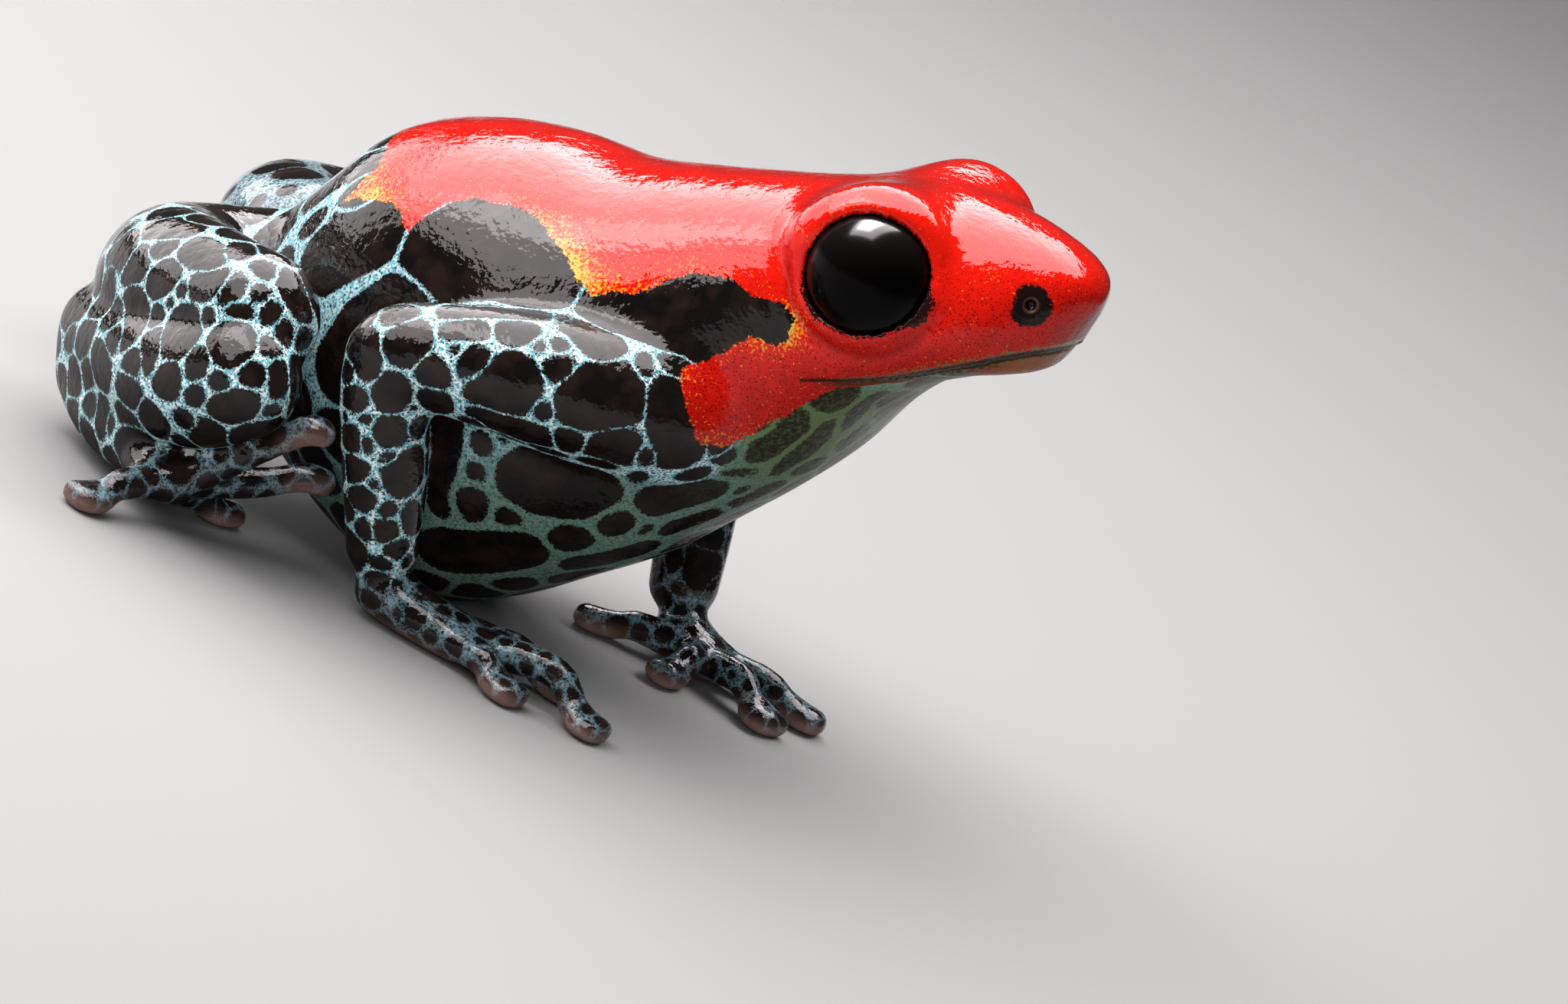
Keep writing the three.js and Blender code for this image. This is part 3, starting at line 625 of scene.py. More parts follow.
# Where yellow and orange grains thicken along that edge: place, reach, strength
grainPlaces = [
    ((4.4, -2.7, 1.3), 0.7, 0.9), ((8.9, -3.4, -0.35), 0.75, 0.95), ((10.4, -3.2, 0.0), 1.3, 0.3),
    ((13.0, -2.95, -1.6), 0.4, 0.9), ((12.3, -2.95, -1.8), 0.4, 0.45), ((11.2, -3.0, -3.9), 0.6, 0.45),
    ((8.3, -3.0, 0.6), 0.9, 0.45), ((10.7, -3.5, -2.2), 0.35, 0.7), ((14.6, -2.9, 0.5), 0.5, 1.3),
    ((16.6, -1.7, -1.05), 0.3, 1.3),
]

bodyPlaces = poseToBody(places)
count = len(places)


def insideOutline(ring, flat):
    inside = np.zeros(len(flat), bool)
    for (x0, y0), (x1, y1) in zip(ring, np.roll(ring, -1, axis=0)):
        crosses = (y0 > flat[:, 1]) != (y1 > flat[:, 1])
        if y0 != y1:
            inside ^= crosses & (flat[:, 0] < x0 + (flat[:, 1] - y0) / (y1 - y0) * (x1 - x0))
    return inside


def distanceToLine(points, line):
    best = np.full(len(points), 1e3)
    if len(line) == 1:
        return np.linalg.norm(points - line[0], axis=1)
    for a, b in zip(line[:-1], line[1:]):
        run = b - a
        t = np.clip((points - a) @ run / max(run @ run, 1e-9), 0, 1)
        best = np.minimum(best, np.linalg.norm(points - a - t[:, None] * run, axis=1))
    return best


# Signed distance to the edge of the red, over zero within
aheadOfSnout = [(17.3, -3.4), (19.5, -3.4), (19.5, 4.0), (4.0, 4.0)]
ring = np.vstack([redEdgeRows[:, [0, 2]], aheadOfSnout])
oneSide = np.stack([bodyPlaces[:, 0], -np.abs(bodyPlaces[:, 1]), bodyPlaces[:, 2]], axis=1)
redEdge = distanceToLine(oneSide, redEdgeRows)
redEdge = np.where(insideOutline(ring, oneSide[:, [0, 2]]), redEdge, -redEdge)
grains = np.zeros(count)
for place, reach, strength in grainPlaces:
    grains += strength * np.exp(-((oneSide - place) ** 2).sum(1) / reach**2)

# Distances from each point to the trunk and to every limb near it
pieceNames = ["body"] + list(limbs)
farthest, nearby = 2.0, 1.8
pieceDistance = np.full((len(pieceNames), count), farthest, np.float32)
pieceDistance[0] = bodyDistance(places)
for i, key in enumerate(limbs):
    samples = limbs[key]
    low, high = samples[:, :3].min(0) - nearby, samples[:, :3].max(0) + nearby
    near = np.all((places > low) & (places < high), axis=1)
    pieceDistance[i + 1, near] = np.minimum(limbDistance(places[near], samples), farthest)
nearestPiece = pieceDistance.argmin(axis=0)


def groupOf(pieceName):
    part = pieceName.split(" ")[0]
    return next((group for group, names in groups.items() if part in names), "body")


pieceGroup = [groupOf(name) for name in pieceNames]
groupDistance = {
    group: pieceDistance[[i for i, own in enumerate(pieceGroup) if own == group]].min(axis=0)
    for group in ["body", *groups]
}
redEdge = np.minimum(redEdge, groupDistance["arm_left"] - netting["clear of the far arm"])
kindOf = [name.split(" ")[0].removesuffix("_left").removesuffix("_right") for name in pieceNames]
spacing = np.array([netting[kind][0] for kind in kindOf])[nearestPiece]
lineHalf = np.array([netting[kind][1] for kind in kindOf])[nearestPiece]
bellySide = smoothStep(*netting["belly"], bodyPlaces[:, 2]) * (nearestPiece == 0)
lineHalf = evened(lineHalf + netting["wider on the belly"] * bellySide, 6, 0.5)

# All cells: those above, their mirror images on the far flank, then a fill of random ones
allCells = [(group, size, np.array(line, float), netting["growth"][group])
            for group, rows in cells.items() for size, *line in rows]
for size, *line in cells["body"]:
    mirrored = poseToBody(np.array(line, float)) * (1, -1, 1)
    if np.abs(mirrored[:, 1]).min() > 1.0:
        allCells.append(("body", size, bodyToPose(mirrored), netting["growth"]["body"]))
rng = np.random.default_rng(netting["seed"])
candidates = rng.permutation(count)[:netting["tries"]]
sizes = rng.uniform(0.0, netting["fill size"], len(candidates))
pointGroups = np.array([pieceGroup[i] for i in nearestPiece[candidates]])
free = redEdge[candidates] < netting["free of the red"]
clearance = np.full(len(candidates), 9.0)
for _, size, line, _ in allCells:
    clearance = np.minimum(clearance, distanceToLine(places[candidates], line) - size)
apart = np.array([netting["apart"][group] for group in pointGroups])
free &= clearance > apart * spacing[candidates]
for c in np.nonzero(free)[0]:
    if not free[c]:
        continue
    v = candidates[c]
    cap = netting["fill growth" if apart[c] < 0.5 else "sparse fill growth"] * spacing[v]
    allCells.append((pointGroups[c], sizes[c] * spacing[v], places[v][None, :], cap))
    fromThis = np.linalg.norm(places[candidates] - places[v], axis=1)
    free &= fromThis > 0.5 * (spacing[v] + spacing[candidates])
print("cells", len(allCells))

# The four cells that reach nearest to each point
reachOf = np.full((4, count), 4.0)
cellOf = np.full((4, count), -1)
for number, (group, size, line, _) in enumerate(allCells):
    margin = size + netting["reach"]
    close = np.all((places > line.min(0) - margin) & (places < line.max(0) + margin), axis=1)
    near = np.nonzero(close)[0]
    offGroup = np.maximum(0, groupDistance[group][near] - 0.05)
    reach = distanceToLine(places[near], line) - size + netting["leaves its limb"] * offGroup
    number = np.full(len(near), number)
    for rank in range(4):
        heldReach, heldCell = reachOf[rank, near], cellOf[rank, near]
        better = reach < heldReach
        reachOf[rank, near] = np.where(better, reach, heldReach)
        cellOf[rank, near] = np.where(better, number, heldCell)
        reach, number = np.where(better, heldReach, reach), np.where(better, heldCell, number)

# Neighbouring cells go to different channels, so that each channel stays smooth
neighbours = [set() for _ in allCells]
for i, j in ((0, 1), (0, 2), (1, 2), (0, 3)):
    both = (cellOf[i] >= 0) & (cellOf[j] >= 0) & (reachOf[j] - reachOf[0] < 1.0)
    for a, b in np.unique(np.stack([cellOf[i][both], cellOf[j][both]], axis=1), axis=0):
        neighbours[a].add(int(b))
        neighbours[b].add(int(a))
channelOf = np.full(len(allCells), -1)
for number in sorted(range(len(allCells)), key=lambda n: -len(neighbours[n])):
    taken = [channelOf[n] for n in neighbours[number]]
    channelOf[number] = min(range(netting["channels"]), key=lambda c: (taken.count(c), c))
caps = np.array([cap for *_, cap in allCells])
rounding = netting["rounding"]
fewGrains = np.clip(1.2 - 1.5 * grains, 0, 1)
intoRed = netting["under the red"] * smoothStep(*netting["beside the red"], redEdge) * fewGrains
channels = np.full((netting["channels"], count), -0.3)
for rank in range(3):
    others = np.delete(reachOf, rank, axis=0)
    least = others.min(0)
    second = least - np.log(np.exp(-rounding * (others - least)).sum(0)) / rounding
    toLine = (second - reachOf[rank]) / 2 - lineHalf
    depth = np.minimum(toLine, caps[cellOf[rank]] + intoRed - reachOf[rank])
    at = np.nonzero(cellOf[rank] >= 0)[0]
    rows = channelOf[cellOf[rank, at]]
    channels[rows, at] = np.maximum(channels[rows, at], depth[at])
print("channels", np.bincount(channelOf))

# Relief of the head, in millimetres: each ridge or crease has its height, middle and reach
head = {
    "mouth corner": 13.05, "lips from": (13.0, 13.8),
    "lip": 0.035, "lip reach": 0.25, "lower lip share": 0.6,
    "front corner": (0.84, -0.54), "front corner from": 0.93, "back corner": (-0.93, -0.37),
    "back corner from": 0.85, "rim": 0.03, "front rim": 0.17, "back rim": 0.08, "low rim": 0.04,
    "below the eye": (0.2, 0.9), "over the eye": (0.3, 0.9), "behind and below": (-0.1, 0.5),
    "crease": (0.045, 0.36, 0.1), "crease line": 0.05, "lid ridge": (0.045, 0.17, 0.09),
    "nostril": (17.2, 1.42, -1.58), "nostril depth": 0.11, "nostril size": 0.1,
}


def bellCurve(value, middle, reach):
    return np.exp(-(((value - middle) / reach) ** 2))


along, side, height = bodyPlaces.T
overMouth = height - eased(mouthProfile, along)[:, 1]
mouthEdge = np.hypot(overMouth, np.maximum(head["mouth corner"] - along, 0))
nostrilPlace = np.array(head["nostril"])
nostrils = [bodyToPose(nostrilPlace * (1, sign, 1)) + poseToFrame for sign in (1, -1)]
fromNostril = np.linalg.norm(np.stack([along, np.abs(side), height], axis=1) - nostrilPlace, axis=1)
fromEye = np.minimum(*(np.linalg.norm(places - middle, axis=1) for middle in eyeMiddles.values()))
fromEye -= pose["eye radius"]
aroundEye = np.stack([along - eyeAlong, height - eyeUp], axis=1)
aroundEye /= np.linalg.norm(aroundEye, axis=1)[:, None] + 1e-6
frontCorner = smoothStep(head["front corner from"], 1.0, aroundEye @ head["front corner"])
backCorner = smoothStep(head["back corner from"], 1.0, aroundEye @ head["back corner"])
belowEye = smoothStep(*head["below the eye"], -aroundEye[:, 1])
overEye = smoothStep(*head["over the eye"], aroundEye[:, 1])
rimWidth = head["rim"] + head["front rim"] * frontCorner + head["back rim"] * backCorner
eyeEdge = fromEye - rimWidth - head["low rim"] * belowEye
crease = smoothStep(*head["behind and below"], -aroundEye[:, 1] - 0.5 * aroundEye[:, 0])
lipPart = head["lip"] * bellCurve(mouthEdge, 0, head["lip reach"]) * smoothStep(*head["lips from"], along)
relief = np.where(overMouth > 0, lipPart, -head["lower lip share"] * lipPart)
depth, *place = head["crease"]
relief -= depth * crease * bellCurve(fromEye, *place)
ridge, *place = head["lid ridge"]
relief += ridge * overEye * bellCurve(fromEye, *place)
relief -= head["nostril depth"] * bellCurve(fromNostril, 0, head["nostril size"])
raised = places + relief[:, None] * normals
normals = normals + netNormals(raised) - netNormals(places)
normals /= np.linalg.norm(normals, axis=1)[:, None]
places = raised

# Zones of the skin: hands with their pale discs, far limbs darkened as painted shade to match the hands,
# belly and throat
zones = {
    "palm side": (0.1, -0.35), "disc": (1.0, 0.55), "sole": (0.25, 0.1), "sole share": 0.75,
    "far": {"forearm_left": 1.0, "upper_arm_left": 1.0, "thigh_left": 0.85, "shank_left": 0.85},
    "evening": (8, 0.6), "belly": (-2.4, -4.6), "throat": (9.5, 12.5), "throat below": (-2.3, -3.2),
}
isDigit = np.array([" digit " in name for name in pieceNames])[nearestPiece]
isHand = np.array([kind in ("hand", "foot") for kind in kindOf])[nearestPiece]
tips = np.array([limbs[name][-1, :3] if " digit " in name else (0, 0, -99) for name in pieceNames])
fromTip = np.linalg.norm(places - tips[nearestPiece], axis=1)
downward = smoothStep(*zones["palm side"], normals[:, 2])
soles = zones["sole share"] * downward * smoothStep(*zones["sole"], places[:, 2]) * isHand
pads = np.maximum(downward * smoothStep(*zones["disc"], fromTip) * isDigit, soles)
limbness = np.array([float(kind != "body") for kind in kindOf])[nearestPiece]
# Far limbs join the hands' dark palette as painted shade
handsAndFarShade = np.maximum(isHand, np.array([zones["far"].get(name, 0.0) for name in pieceNames])[nearestPiece])
pads, limbness, handsAndFarShade = (evened(values, *zones["evening"]) for values in (pads, limbness, handsAndFarShade))
belly = smoothStep(*zones["belly"], height) * (1 - limbness)
throat = smoothStep(*zones["throat"], along) * smoothStep(*zones["throat below"], height) * (1 - limbness)

# Painted shade along the crease under the eye
creaseShadeLine = crease * bellCurve(fromEye, head["crease"][1], head["crease line"])
attributes = {
    "cellsFirst": dict(zip(("cell 0", "cell 1", "cell 2"), channels[:3])),
    "cellsSecond": dict(zip(("cell 3", "cell 4", "cell 5"), channels[3:])),
    "redZone": {"red": redEdge, "grains": grains, "throat": throat},
    "limbZone": {"limb": limbness, "disc": pads, "hand": handsAndFarShade},
    "headZone": {"over mouth": overMouth, "eye edge": eyeEdge, "crease": creaseShadeLine},
    "bodyZone": {"belly": belly, "along": along, "height": height},
    "facing": dict(zip(("facing x", "facing y", "facing up"), normals.T)),
}
print("zones of the skin")


def addPiece(name, mesh, material):
    piece = bpy.data.objects.new(name, mesh)
    bpy.context.scene.collection.objects.link(piece)
    mesh.materials.append(material)
    return piece


def skinPiece(name, verts, faces, material):
    mesh = bpy.data.meshes.new(name)
    sides = faces.shape[1]
    mesh.vertices.add(len(verts))
    mesh.vertices.foreach_set("co", ((verts + poseToFrame) * mm).astype(np.float32).ravel())
    mesh.loops.add(faces.size)
    mesh.loops.foreach_set("vertex_index", faces.ravel().astype(np.int32))
    mesh.polygons.add(len(faces))
    mesh.polygons.foreach_set("loop_start", np.arange(0, faces.size, sides, dtype=np.int32))
    mesh.polygons.foreach_set("loop_total", np.full(len(faces), sides, np.int32))
    mesh.update(calc_edges=True)
    mesh.polygons.foreach_set("use_smooth", np.ones(len(faces), bool))
    return addPiece(name, mesh, material)


# A material with its nodes, in the few words that the recipes below use
class Recipe:
    def __init__(self, name, shaderValues):
        self.material = bpy.data.materials.new(name)
        self.material.use_nodes = True
        self.tree = self.material.node_tree
        self.put(self.tree.nodes["Principled BSDF"], shaderValues)

    def put(self, made, values):
        for key, value in values.items():
            if isinstance(value, bpy.types.NodeSocket):
                self.tree.links.new(value, made.inputs[key])
            else:
                made.inputs[key].default_value = value

    def add(self, kind, values, **settings):
        made = self.tree.nodes.new(kind)
        for key, value in settings.items():
            setattr(made, key, value)
        self.put(made, values)
        return made

    def math(self, operation, *values):
        return self.add("ShaderNodeMath", dict(enumerate(values)), operation=operation).outputs[0]

    def product(self, first, *others):
        for other in others:
            first = self.math("MULTIPLY", first, other)
        return first

    def total(self, first, *others):
        for other in others:
            first = self.math("ADD", first, other)
        return first

    # Adds a share of a value to another
    def mixedIn(self, value, share, to):
        return self.math("MULTIPLY_ADD", value, share, to)

    # Takes a value from one zone to another range, held at both ends
    def ranged(self, value, zone, ends=(0.0, 1.0), soft=False):
        values = {
            "Value": value, "From Min": zone[0], "From Max": zone[1], "To Min": ends[0], "To Max": ends[1],
        }
        kind = "SMOOTHSTEP" if soft else "LINEAR"
        return self.add("ShaderNodeMapRange", values, interpolation_type=kind, clamp=True).outputs[0]

    def blended(self, amount, first, second):
        first, second = ((*c, 1) if isinstance(c, tuple) else c for c in (first, second))
        values = {0: amount, 6: first, 7: second}
        return self.add("ShaderNodeMix", values, data_type="RGBA").outputs[2]

    def noise(self, place, size, detail=2.0, rough=0.5):
        values = {"Vector": place, "Scale": 1 / size, "Detail": detail, "Roughness": rough}
        return self.add("ShaderNodeTexNoise", values).outputs["Fac"]

    def vector(self, operation, a, b, output):
        return self.add("ShaderNodeVectorMath", {0: a, 1: b}, operation=operation).outputs[output]


# Black cells in a net of granular lines, paler on the limbs and olive on the throat; painted shade darkens
# the lines on the belly and the far limbs
netLook = {
    "ragged": 0.12, "ragged more": 0.19, "cell edge": (-0.008, 0.008),
    "line dark": (0.004, 0.035, 0.05), "line": (0.1, 0.32, 0.37), "line grain": (0.42, 0.51),
    "line pale": (0.55, 0.66, 0.67), "pale grain": (0.44, 0.58), "pale on body, limbs": (0.6, 0.95),
    "hand ground": (0.006, 0.007, 0.009), "hand line": (0.055, 0.11, 0.14), "hand grain": (0.47, 0.6),
    # The belly and far limb darkening is painted shade; the olive is the belly's own colour
    "hand and far shade share": 0.85, "painted belly shade": 0.6, "olive on the belly": 0.45,
    "throat line": (0.08, 0.13, 0.05), "throat ground": (0.014, 0.012, 0.004),
    "throat grain": (0.45, 0.7), "throat share": 0.55,
    "black": (0.0035, 0.0027, 0.0027), "brown": (0.011, 0.0065, 0.005), "brown patches": (0.4, 0.65),
}


def netColour(mix, at):
    look = netLook
    deepest = at["cell 0"]
    for i in range(1, netting["channels"]):
        deepest = mix.math("MAXIMUM", deepest, at[f"cell {i}"])
    ragged = mix.mixedIn(at["fine shift"], look["ragged"], deepest)
    ragged = mix.mixedIn(at["coarse shift"], look["ragged more"], ragged)
    at["spots"] = mix.ranged(ragged, look["cell edge"])
    line = mix.blended(mix.ranged(at["coarse"], look["line grain"]), look["line dark"], look["line"])
    pale = mix.ranged(at["limb"], (0, 1), look["pale on body, limbs"])
    pale = mix.product(mix.ranged(at["fine"], look["pale grain"]), pale)
    line = mix.blended(pale, line, look["line pale"])
    handGrain = mix.ranged(at["coarse"], look["hand grain"])
    handLine = mix.blended(handGrain, look["hand ground"], look["hand line"])
    # Hands take their own dark palette; the far limbs take it too as painted shade
    line = mix.blended(mix.product(at["hand"], look["hand and far shade share"]), line, handLine)
    # Painted shade: the lines darken on the belly, which faces away from the light
    line = mix.blended(mix.product(at["belly"], look["painted belly shade"]), line, look["line dark"])
    olive = mix.math("MAXIMUM", at["throat"], mix.product(at["belly"], look["olive on the belly"]))
    line = mix.blended(olive, line, look["throat line"])
    ground = mix.blended(mix.ranged(at["patch"], look["brown patches"]), look["black"], look["brown"])
    throatGrain = mix.ranged(at["coarse"], look["throat grain"])
    throatGround = mix.blended(throatGrain, look["throat ground"], look["throat line"])
    ground = mix.blended(mix.product(at["throat"], look["throat share"]), ground, throatGround)
    return mix.blended(at["spots"], line, ground)


# Red mantle with grains of yellow and orange along its edge and fine dark pores, with painted shade at its
# outline and lower down its sides
mantleLook = {
    "red": (0.48, 0.006, 0.002), "deep red": (0.2, 0.002, 0.001), "edge": (-0.012, 0.012),
    "fine fray": 0.15, "coarse fray": 0.22, "broad fray": 0.3,
    # Deep patches are the red's own uneven tone; the turned and low values paint shade on it
    "deep patches": (0.35, 0.65), "patch depth": 0.2, "painted rim shade from": (0.48, 0.9), "painted rim shade depth": 0.8,
    "painted shade low on the side": (-1.0, -2.6), "painted shade depth below": 0.35,
    "pore spacing": 0.055, "pore": (0.34, 0.22), "pore share": 0.85, "pore colour": (0.02, 0.001, 0.001),
    "pores below": (-0.2, -1.6), "pores from": (9.0, 10.3),
    "orange": (0.5, 0.11, 0.004), "yellow": (0.4, 0.29, 0.03), "grain reach": (0.75, 0.0),
    "grain all along": 0.2, "grain away from the edge": 0.24, "grain share": 0.6, "grain contrast": 1.9,
    "orange over": (0.4, 0.5), "yellow over": (0.68, 0.78),
}


def mantleColour(mix, at):
    look = mantleLook
    edge = mix.mixedIn(at["fine shift"], look["fine fray"], at["red"])
    edge = mix.mixedIn(at["coarse shift"], look["coarse fray"], edge)
    edge = mix.mixedIn(at["patch shift"], look["broad fray"], edge)
    at["mantle"] = mix.ranged(edge, look["edge"])
    # Painted shade: the red darkens towards the outline, where the skin turns away from view
    facing = mix.add("ShaderNodeLayerWeight", {"Blend": 0.5}).outputs["Facing"]
    deepenedAndShaded = mix.total(
        mix.ranged(at["patch"], look["deep patches"], (0.0, look["patch depth"])),
        mix.ranged(facing, look["painted rim shade from"], (0.0, look["painted rim shade depth"])),
        # Painted shade: the red darkens lower down the sides
        mix.ranged(at["height"], look["painted shade low on the side"], (0.0, look["painted shade depth below"])),
    )
    colour = mix.blended(deepenedAndShaded, look["red"], look["deep red"])
    pores = mix.add("ShaderNodeTexVoronoi", {"Vector": at["place"], "Scale": 1 / look["pore spacing"]})
    pore = mix.product(
        mix.ranged(pores.outputs["Distance"], look["pore"]), mix.ranged(at["height"], look["pores below"]),
        mix.ranged(at["along"], look["pores from"]), look["pore share"],
    )
    colour = mix.blended(pore, colour, look["pore colour"])
    strength = mix.total(at["grains"], look["grain all along"])
    strength = mix.product(mix.ranged(at["red"], look["grain reach"]), strength)
    strength = mix.mixedIn(at["grains"], look["grain away from the edge"], strength)
    strength = mix.product(strength, look["grain share"])
    strength = mix.total(strength, mix.product(at["fine shift"], look["grain contrast"]))
    colour = mix.blended(mix.ranged(strength, look["orange over"]), colour, look["orange"])
    return mix.blended(mix.ranged(strength, look["yellow over"]), colour, look["yellow"])


# Lips, mouth line, rims of the eyes and nostrils, in millimetres from each; painted shade in the crease
# under the eye and inside the nostril opening
faceLook = {
    "lip": (0.2, 0.07, 0.03), "lip below": (0.0, -0.06), "lip along": (15.9, 16.7),
    "band colour": (0.014, 0.012, 0.004), "band share": 0.85, "band fray": 0.1,
    "band top": (0.0, -0.02), "band foot": (-0.2, -0.12),
    "band back": (13.2, 13.7), "band front": (16.8, 16.2),
    "mouth": (0.012, 0.006, 0.002), "mouth share": 0.95, "mouth fray": 0.05,
    "mouth edge": (0.015, -0.01), "mouth along": (13.2, 15.5), "mouth width": (0.03, 0.085),
    "mouth end": (11.05, 13.05), "beyond": (2.0, 0.0),
    "gilding": (0.13, 0.1, 0.014), "gilding reach": (0.11, 0.03), "gilding along": (13.6, 15.0),
    "gilding grain": (0.5, 0.56), "painted crease shade": 0.6,
    "rim": (0.012, 0.004, 0.003), "rim edge": (0.02, 0.0), "rim fray": -0.25,
    "nostril": (0.006, 0.003, 0.0025), "nostril edge": (0.42, 0.37),
    "nostril fray": 0.16, "nostril shape": 0.3,
    # The hole colour is painted shade inside the nostril opening
    "painted hole shade": (0.0015, 0.001, 0.001), "hole edge": (0.1, 0.08),
    "hole rim": (0.05, 0.018, 0.014), "hole rim middle": -0.13, "hole rim edge": (0.05, 0.01),
}


def underLips(mix, at, colour):
    look = faceLook
    lip = mix.ranged(at["over mouth"], look["lip below"])
    lip = mix.product(lip, mix.ranged(at["along"], look["lip along"]))
    colour = mix.blended(lip, colour, look["lip"])
    under = mix.mixedIn(at["fine shift"], look["band fray"], at["over mouth"])
    band = mix.product(
        mix.ranged(under, look["band top"]), mix.ranged(under, look["band foot"]),
        mix.ranged(at["along"], look["band back"]), mix.ranged(at["along"], look["band front"]),
        look["band share"],
    )
    return mix.blended(band, colour, look["band colour"])


def faceColour(mix, at, colour):
    look = faceLook
    fromMouth = mix.mixedIn(at["fine shift"], look["mouth fray"], at["over mouth"])
    beyond = mix.ranged(at["along"], look["mouth end"], look["beyond"])
    fromMouth = mix.math("SQRT", mix.mixedIn(fromMouth, fromMouth, mix.product(beyond, beyond)))
    width = mix.ranged(at["along"], look["mouth along"], look["mouth width"])
    at["from mouth"] = fromMouth = mix.math("SUBTRACT", fromMouth, width)
    gilded = mix.product(
        mix.ranged(fromMouth, look["gilding reach"]), mix.ranged(at["along"], look["gilding along"]),
        mix.ranged(at["coarse"], look["gilding grain"]),
    )
    colour = mix.blended(gilded, colour, look["gilding"])
    line = mix.product(mix.ranged(fromMouth, look["mouth edge"]), look["mouth share"])
    colour = mix.blended(line, colour, look["mouth"])
    # Painted shade: the crease under the eye darkens to deep red
    crease = mix.product(at["crease"], look["painted crease shade"])
    colour = mix.blended(crease, colour, mantleLook["deep red"])
    rim = mix.mixedIn(at["fine shift"], look["rim fray"], at["eye edge"])
    colour = mix.blended(mix.ranged(rim, look["rim edge"]), colour, look["rim"])
    holes = [mix.vector("DISTANCE", at["place"], tuple(spot), "Value") for spot in nostrils]
    at["from hole"] = fromHole = mix.math("MINIMUM", *holes)
    uneven = mix.mixedIn(at["patch shift"], look["nostril shape"], fromHole)
    uneven = mix.mixedIn(at["fine shift"], look["nostril fray"], uneven)
    colour = mix.blended(mix.ranged(uneven, look["nostril edge"]), colour, look["nostril"])
    holeRim = mix.math("ABSOLUTE", mix.total(fromHole, look["hole rim middle"]))
    colour = mix.blended(mix.ranged(holeRim, look["hole rim edge"]), colour, look["hole rim"])
    # Painted shade: the nostril opening is filled with near black
    return mix.blended(mix.ranged(fromHole, look["hole edge"]), colour, look["painted hole shade"])


# Grain sizes in millimetres, and the wet film over the skin, thinner on what faces the floor
skinLook = {
    "fine grain": 0.055, "coarse grain": 0.0935, "patch": 0.5, "disc": (0.2, 0.12, 0.1),
    "roughness": 0.5, "shine below": 0.0, "wet roughness": 0.03, "wet ior": 1.41,
    "film from": (-0.55, 0.0), "film": (0.3, 1.0),
    "bump": 0.000011, "fine relief": 0.13, "broad relief": 0.35,
    "broad share": 2.2, "cells sink": -0.25, "mouth groove": (-0.03, 0.05), "mouth depth": (-3.0, 0.0),
    "nostril groove": (0.05, 0.14), "nostril depth": (-7.0, 0.0),
}


def skinMaterial():
    look = skinLook
    mix = Recipe("skin", {})
    at = {}
    for zone, parts in attributes.items():
        found = mix.add("ShaderNodeAttribute", {}, attribute_name=zone).outputs["Vector"]
        at.update(zip(parts, mix.add("ShaderNodeSeparateXYZ", {0: found}).outputs))
    metres = mix.add("ShaderNodeTexCoord", {}).outputs["Object"]
    at["place"] = mix.vector("MULTIPLY", metres, (1000, 1000, 1000), 0)
    at["fine"] = mix.noise(at["place"], look["fine grain"], 1.0)
    at["coarse"] = mix.noise(at["place"], look["coarse grain"], 3.0, 0.7)
    at["patch"] = mix.noise(at["place"], look["patch"])
    for name in ("fine", "coarse", "patch"):
        at[f"{name} shift"] = mix.math("SUBTRACT", at[name], 0.5)
    net = netColour(mix, at)
    red = underLips(mix, at, mantleColour(mix, at))
    colour = faceColour(mix, at, mix.blended(at["mantle"], net, red))
    colour = mix.blended(at["disc"], colour, look["disc"])
    relief = mix.total(
        mix.noise(at["place"], look["fine relief"]),
        mix.product(mix.noise(at["place"], look["broad relief"]), look["broad share"]),
        mix.product(at["spots"], look["cells sink"]),
        mix.ranged(at["from mouth"], look["mouth groove"], look["mouth depth"], soft=True),
        mix.ranged(at["from hole"], look["nostril groove"], look["nostril depth"], soft=True),
    )
    values = {"Height": relief, "Strength": 1.0, "Distance": look["bump"]}
    bump = mix.add("ShaderNodeBump", values).outputs[0]
    mix.put(mix.tree.nodes["Principled BSDF"], {
        "Base Color": colour, "Roughness": look["roughness"], "Specular IOR Level": look["shine below"],
        "Coat Weight": mix.ranged(at["facing up"], look["film from"], look["film"]),
        "Coat Roughness": look["wet roughness"], "Coat IOR": look["wet ior"],
        "Normal": bump, "Coat Normal": bump,
    })
    return mix.material


skin = skinPiece("skin", places, quads, skinMaterial())
for zone, parts in attributes.items():
    layer = skin.data.attributes.new(zone, "FLOAT_VECTOR", "POINT")
    layer.data.foreach_set("vector", np.stack([*parts.values()], axis=1).astype(np.float32).ravel())
skin.data.normals_split_custom_set_from_vertices(normals.tolist())
skinNodes = [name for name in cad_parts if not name.startswith("eye")]
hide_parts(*skinNodes)
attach(skin, "root")
print("skin dressed")

# Eyes: plain dark balls
eyeLook = {
    "turns": 64, "rings": 32,
    "colour": (0.0012, 0.0009, 0.0009), "roughness": 0.16, "ior": 1.36, "shine": 0.1,
}
eyeMaterial = Recipe("eye", {
    "Base Color": (*eyeLook["colour"], 1), "Roughness": eyeLook["roughness"], "IOR": eyeLook["ior"],
    "Specular IOR Level": eyeLook["shine"],
}).material


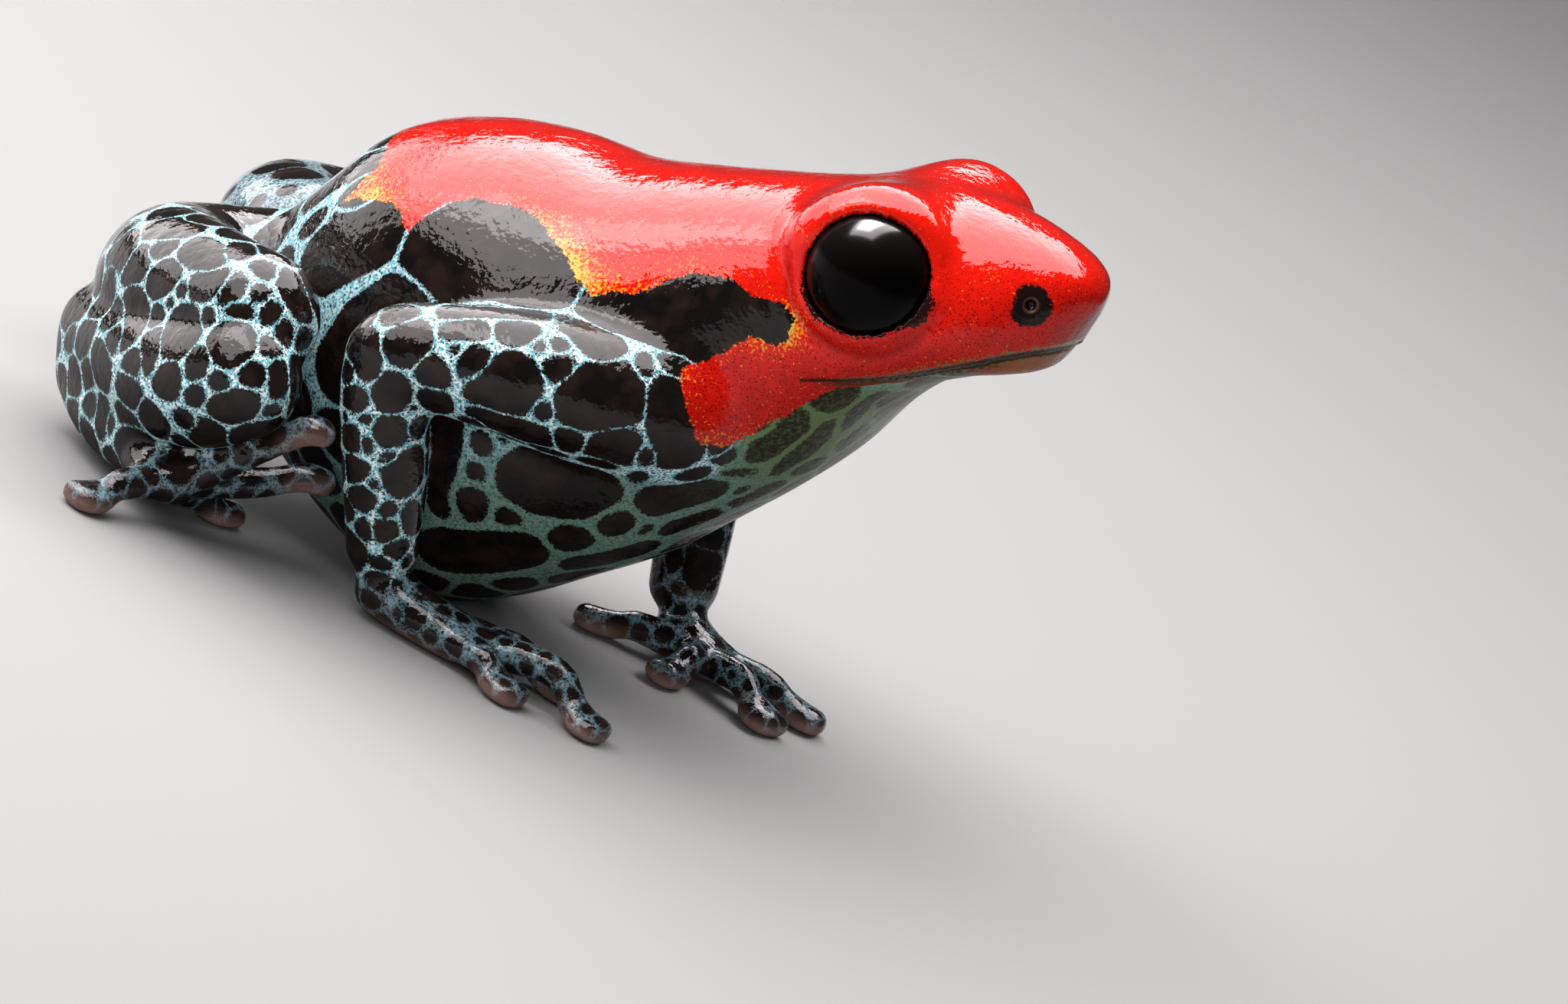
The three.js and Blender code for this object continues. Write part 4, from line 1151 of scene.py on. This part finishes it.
def ballMesh(name, middle, radius):
    turns, rings = eyeLook["turns"], eyeLook["rings"]
    tilts = [math.pi * r / rings for r in range(1, rings)]
    verts = [
        (math.sin(tilt) * math.cos(turn), math.sin(tilt) * math.sin(turn), math.cos(tilt))
        for tilt in tilts for turn in (2 * math.pi * t / turns for t in range(turns))
    ]
    verts = np.array(verts + [(0, 0, 1), (0, 0, -1)]) * radius + middle
    faces = []
    for r in range(rings - 2):
        for t in range(turns):
            a, b = r * turns + t, r * turns + (t + 1) % turns
            faces.append((a, a + turns, b + turns, b))
    top, bottom, last = len(verts) - 2, len(verts) - 1, (rings - 2) * turns
    for t in range(turns):
        onward = (t + 1) % turns
        faces.append((top, t, onward))
        faces.append((bottom, last + onward, last + t))
    mesh = bpy.data.meshes.new(name)
    mesh.from_pydata(((verts + poseToFrame) * mm).tolist(), [], faces)
    mesh.polygons.foreach_set("use_smooth", np.ones(len(mesh.polygons), bool))
    return mesh


for name, middle in eyeMiddles.items():
    ball = ballMesh(f"eyeball_{name}", middle, pose["eye radius"])
    eye = addPiece(f"eyeball_{name}", ball, eyeMaterial)
    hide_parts(f"eye_{name}")
    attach(eye, "root")
print("eyes")

# Camera as in the photograph, its long side level with the photograph's own
camera = {
    "azimuth": 22, "elevation": 14, "roll": 25, "distance": 190, "pixels per mm": 69, "image width": 2048,
    "sensor": 36, "target": (4.184, 0, 4.82), "clip": (0.001, 10),
}
azimuth, elevation, roll = (math.radians(camera[key]) for key in ("azimuth", "elevation", "roll"))
right = np.array([math.cos(azimuth), math.sin(azimuth), 0])
back = math.cos(elevation) * np.array([math.sin(azimuth), -math.cos(azimuth), 0])
back[2] = math.sin(elevation)
cameraUp = np.cross(back, right)
imageRight = right * math.cos(roll) + cameraUp * math.sin(roll)
imageUp = cameraUp * math.cos(roll) - right * math.sin(roll)
lens = bpy.data.cameras.new("camera")
lens.sensor_width = camera["sensor"]
lens.lens = camera["sensor"] * camera["pixels per mm"] * camera["distance"] / camera["image width"]
lens.clip_start, lens.clip_end = camera["clip"]
viewer = bpy.data.objects.new("camera", lens)
bpy.context.scene.collection.objects.link(viewer)
target = np.array(camera["target"]) + poseToFrame
place = (target + back * camera["distance"]) * mm
turned = np.column_stack([imageRight, imageUp, back, place])
viewer.matrix_world = Matrix([*turned.tolist(), [0, 0, 0, 1]])
bpy.context.scene.camera = viewer

# Floor and soft room light
room = {
    "half": 2.0, "floor": (0.168, 0.173, 0.171), "floor roughness": 0.85,
    "air": (0.94, 0.97, 1.0), "glow": 0.06,
}
floorMesh = bpy.data.meshes.new("floor")
floorRing = [(x * room["half"], y * room["half"], 0) for x, y in ((-1, -1), (1, -1), (1, 1), (-1, 1))]
floorMesh.from_pydata(floorRing, [], [(0, 1, 2, 3)])
floorRecipe = Recipe("floor", {"Base Color": (*room["floor"], 1), "Roughness": room["floor roughness"]})
floor = addPiece("floor", floorMesh, floorRecipe.material)
world = bpy.data.worlds.new("room")
bpy.context.scene.world = world
world.use_nodes = True
world.node_tree.nodes["Background"].inputs["Color"].default_value = (*room["air"], 1)
world.node_tree.nodes["Background"].inputs["Strength"].default_value = room["glow"]
bpy.context.scene.view_settings.view_transform = "Standard"

# Softboxes: direction, distance, width, height in millimetres, power, and what each one lights.
# The large ones leave the eyes out, which mirror two small ones of their own
lightColour = (1.0, 0.94, 0.95)
softboxes = {
    "overhead": ((-0.36, 0.12, 0.93), 75, 128, 116, 0.33, "all but the eyes"),
    "flank": ((-0.52, -0.56, 0.66), 85, 66, 58, 0.06, "all but the eyes"),
    "side": ((-0.96, 0.06, 0.26), 80, 80, 40, 0.04, "all but the eyes"),
    "fill": ((0.35, -0.9, 0.2), 90, 60, 60, 0.055, "everything"),
    "far": ((0.35, 0.5, 0.8), 500, 200, 200, 1.3, "ground"),
    "core": ((-0.5, 0.1, 0.86), 73, 34, 24, 0.38, "eyes"),
    "halo": ((-0.44, 0.1, 0.9), 75, 72, 52, 0.6, "eyes"),
}
eyeballs = [bpy.data.objects[f"eyeball_{name}"] for name in eyeMiddles]
receivers = {}
for group, pieces in {"eyes": eyeballs, "all but the eyes": [skin, floor], "ground": [floor]}.items():
    receivers[group] = bpy.data.collections.new(group)
    for piece in pieces:
        receivers[group].objects.link(piece)
for name, (direction, distance, wide, high, power, group) in softboxes.items():
    direction = np.array(direction) / np.linalg.norm(direction)
    light = bpy.data.lights.new(name, "AREA")
    light.shape = "RECTANGLE"
    light.size, light.size_y = wide * mm, high * mm
    light.energy, light.color = power, lightColour
    lamp = bpy.data.objects.new(name, light)
    bpy.context.scene.collection.objects.link(lamp)
    lamp.location = (target + direction * distance) * mm
    lamp.rotation_euler = Vector(direction).to_track_quat("Z", "Y").to_euler()
    if group in receivers:
        lamp.light_linking.receiver_collection = receivers[group]
bpy.data.objects["fill"].visible_glossy = False
print("camera, floor and lights")
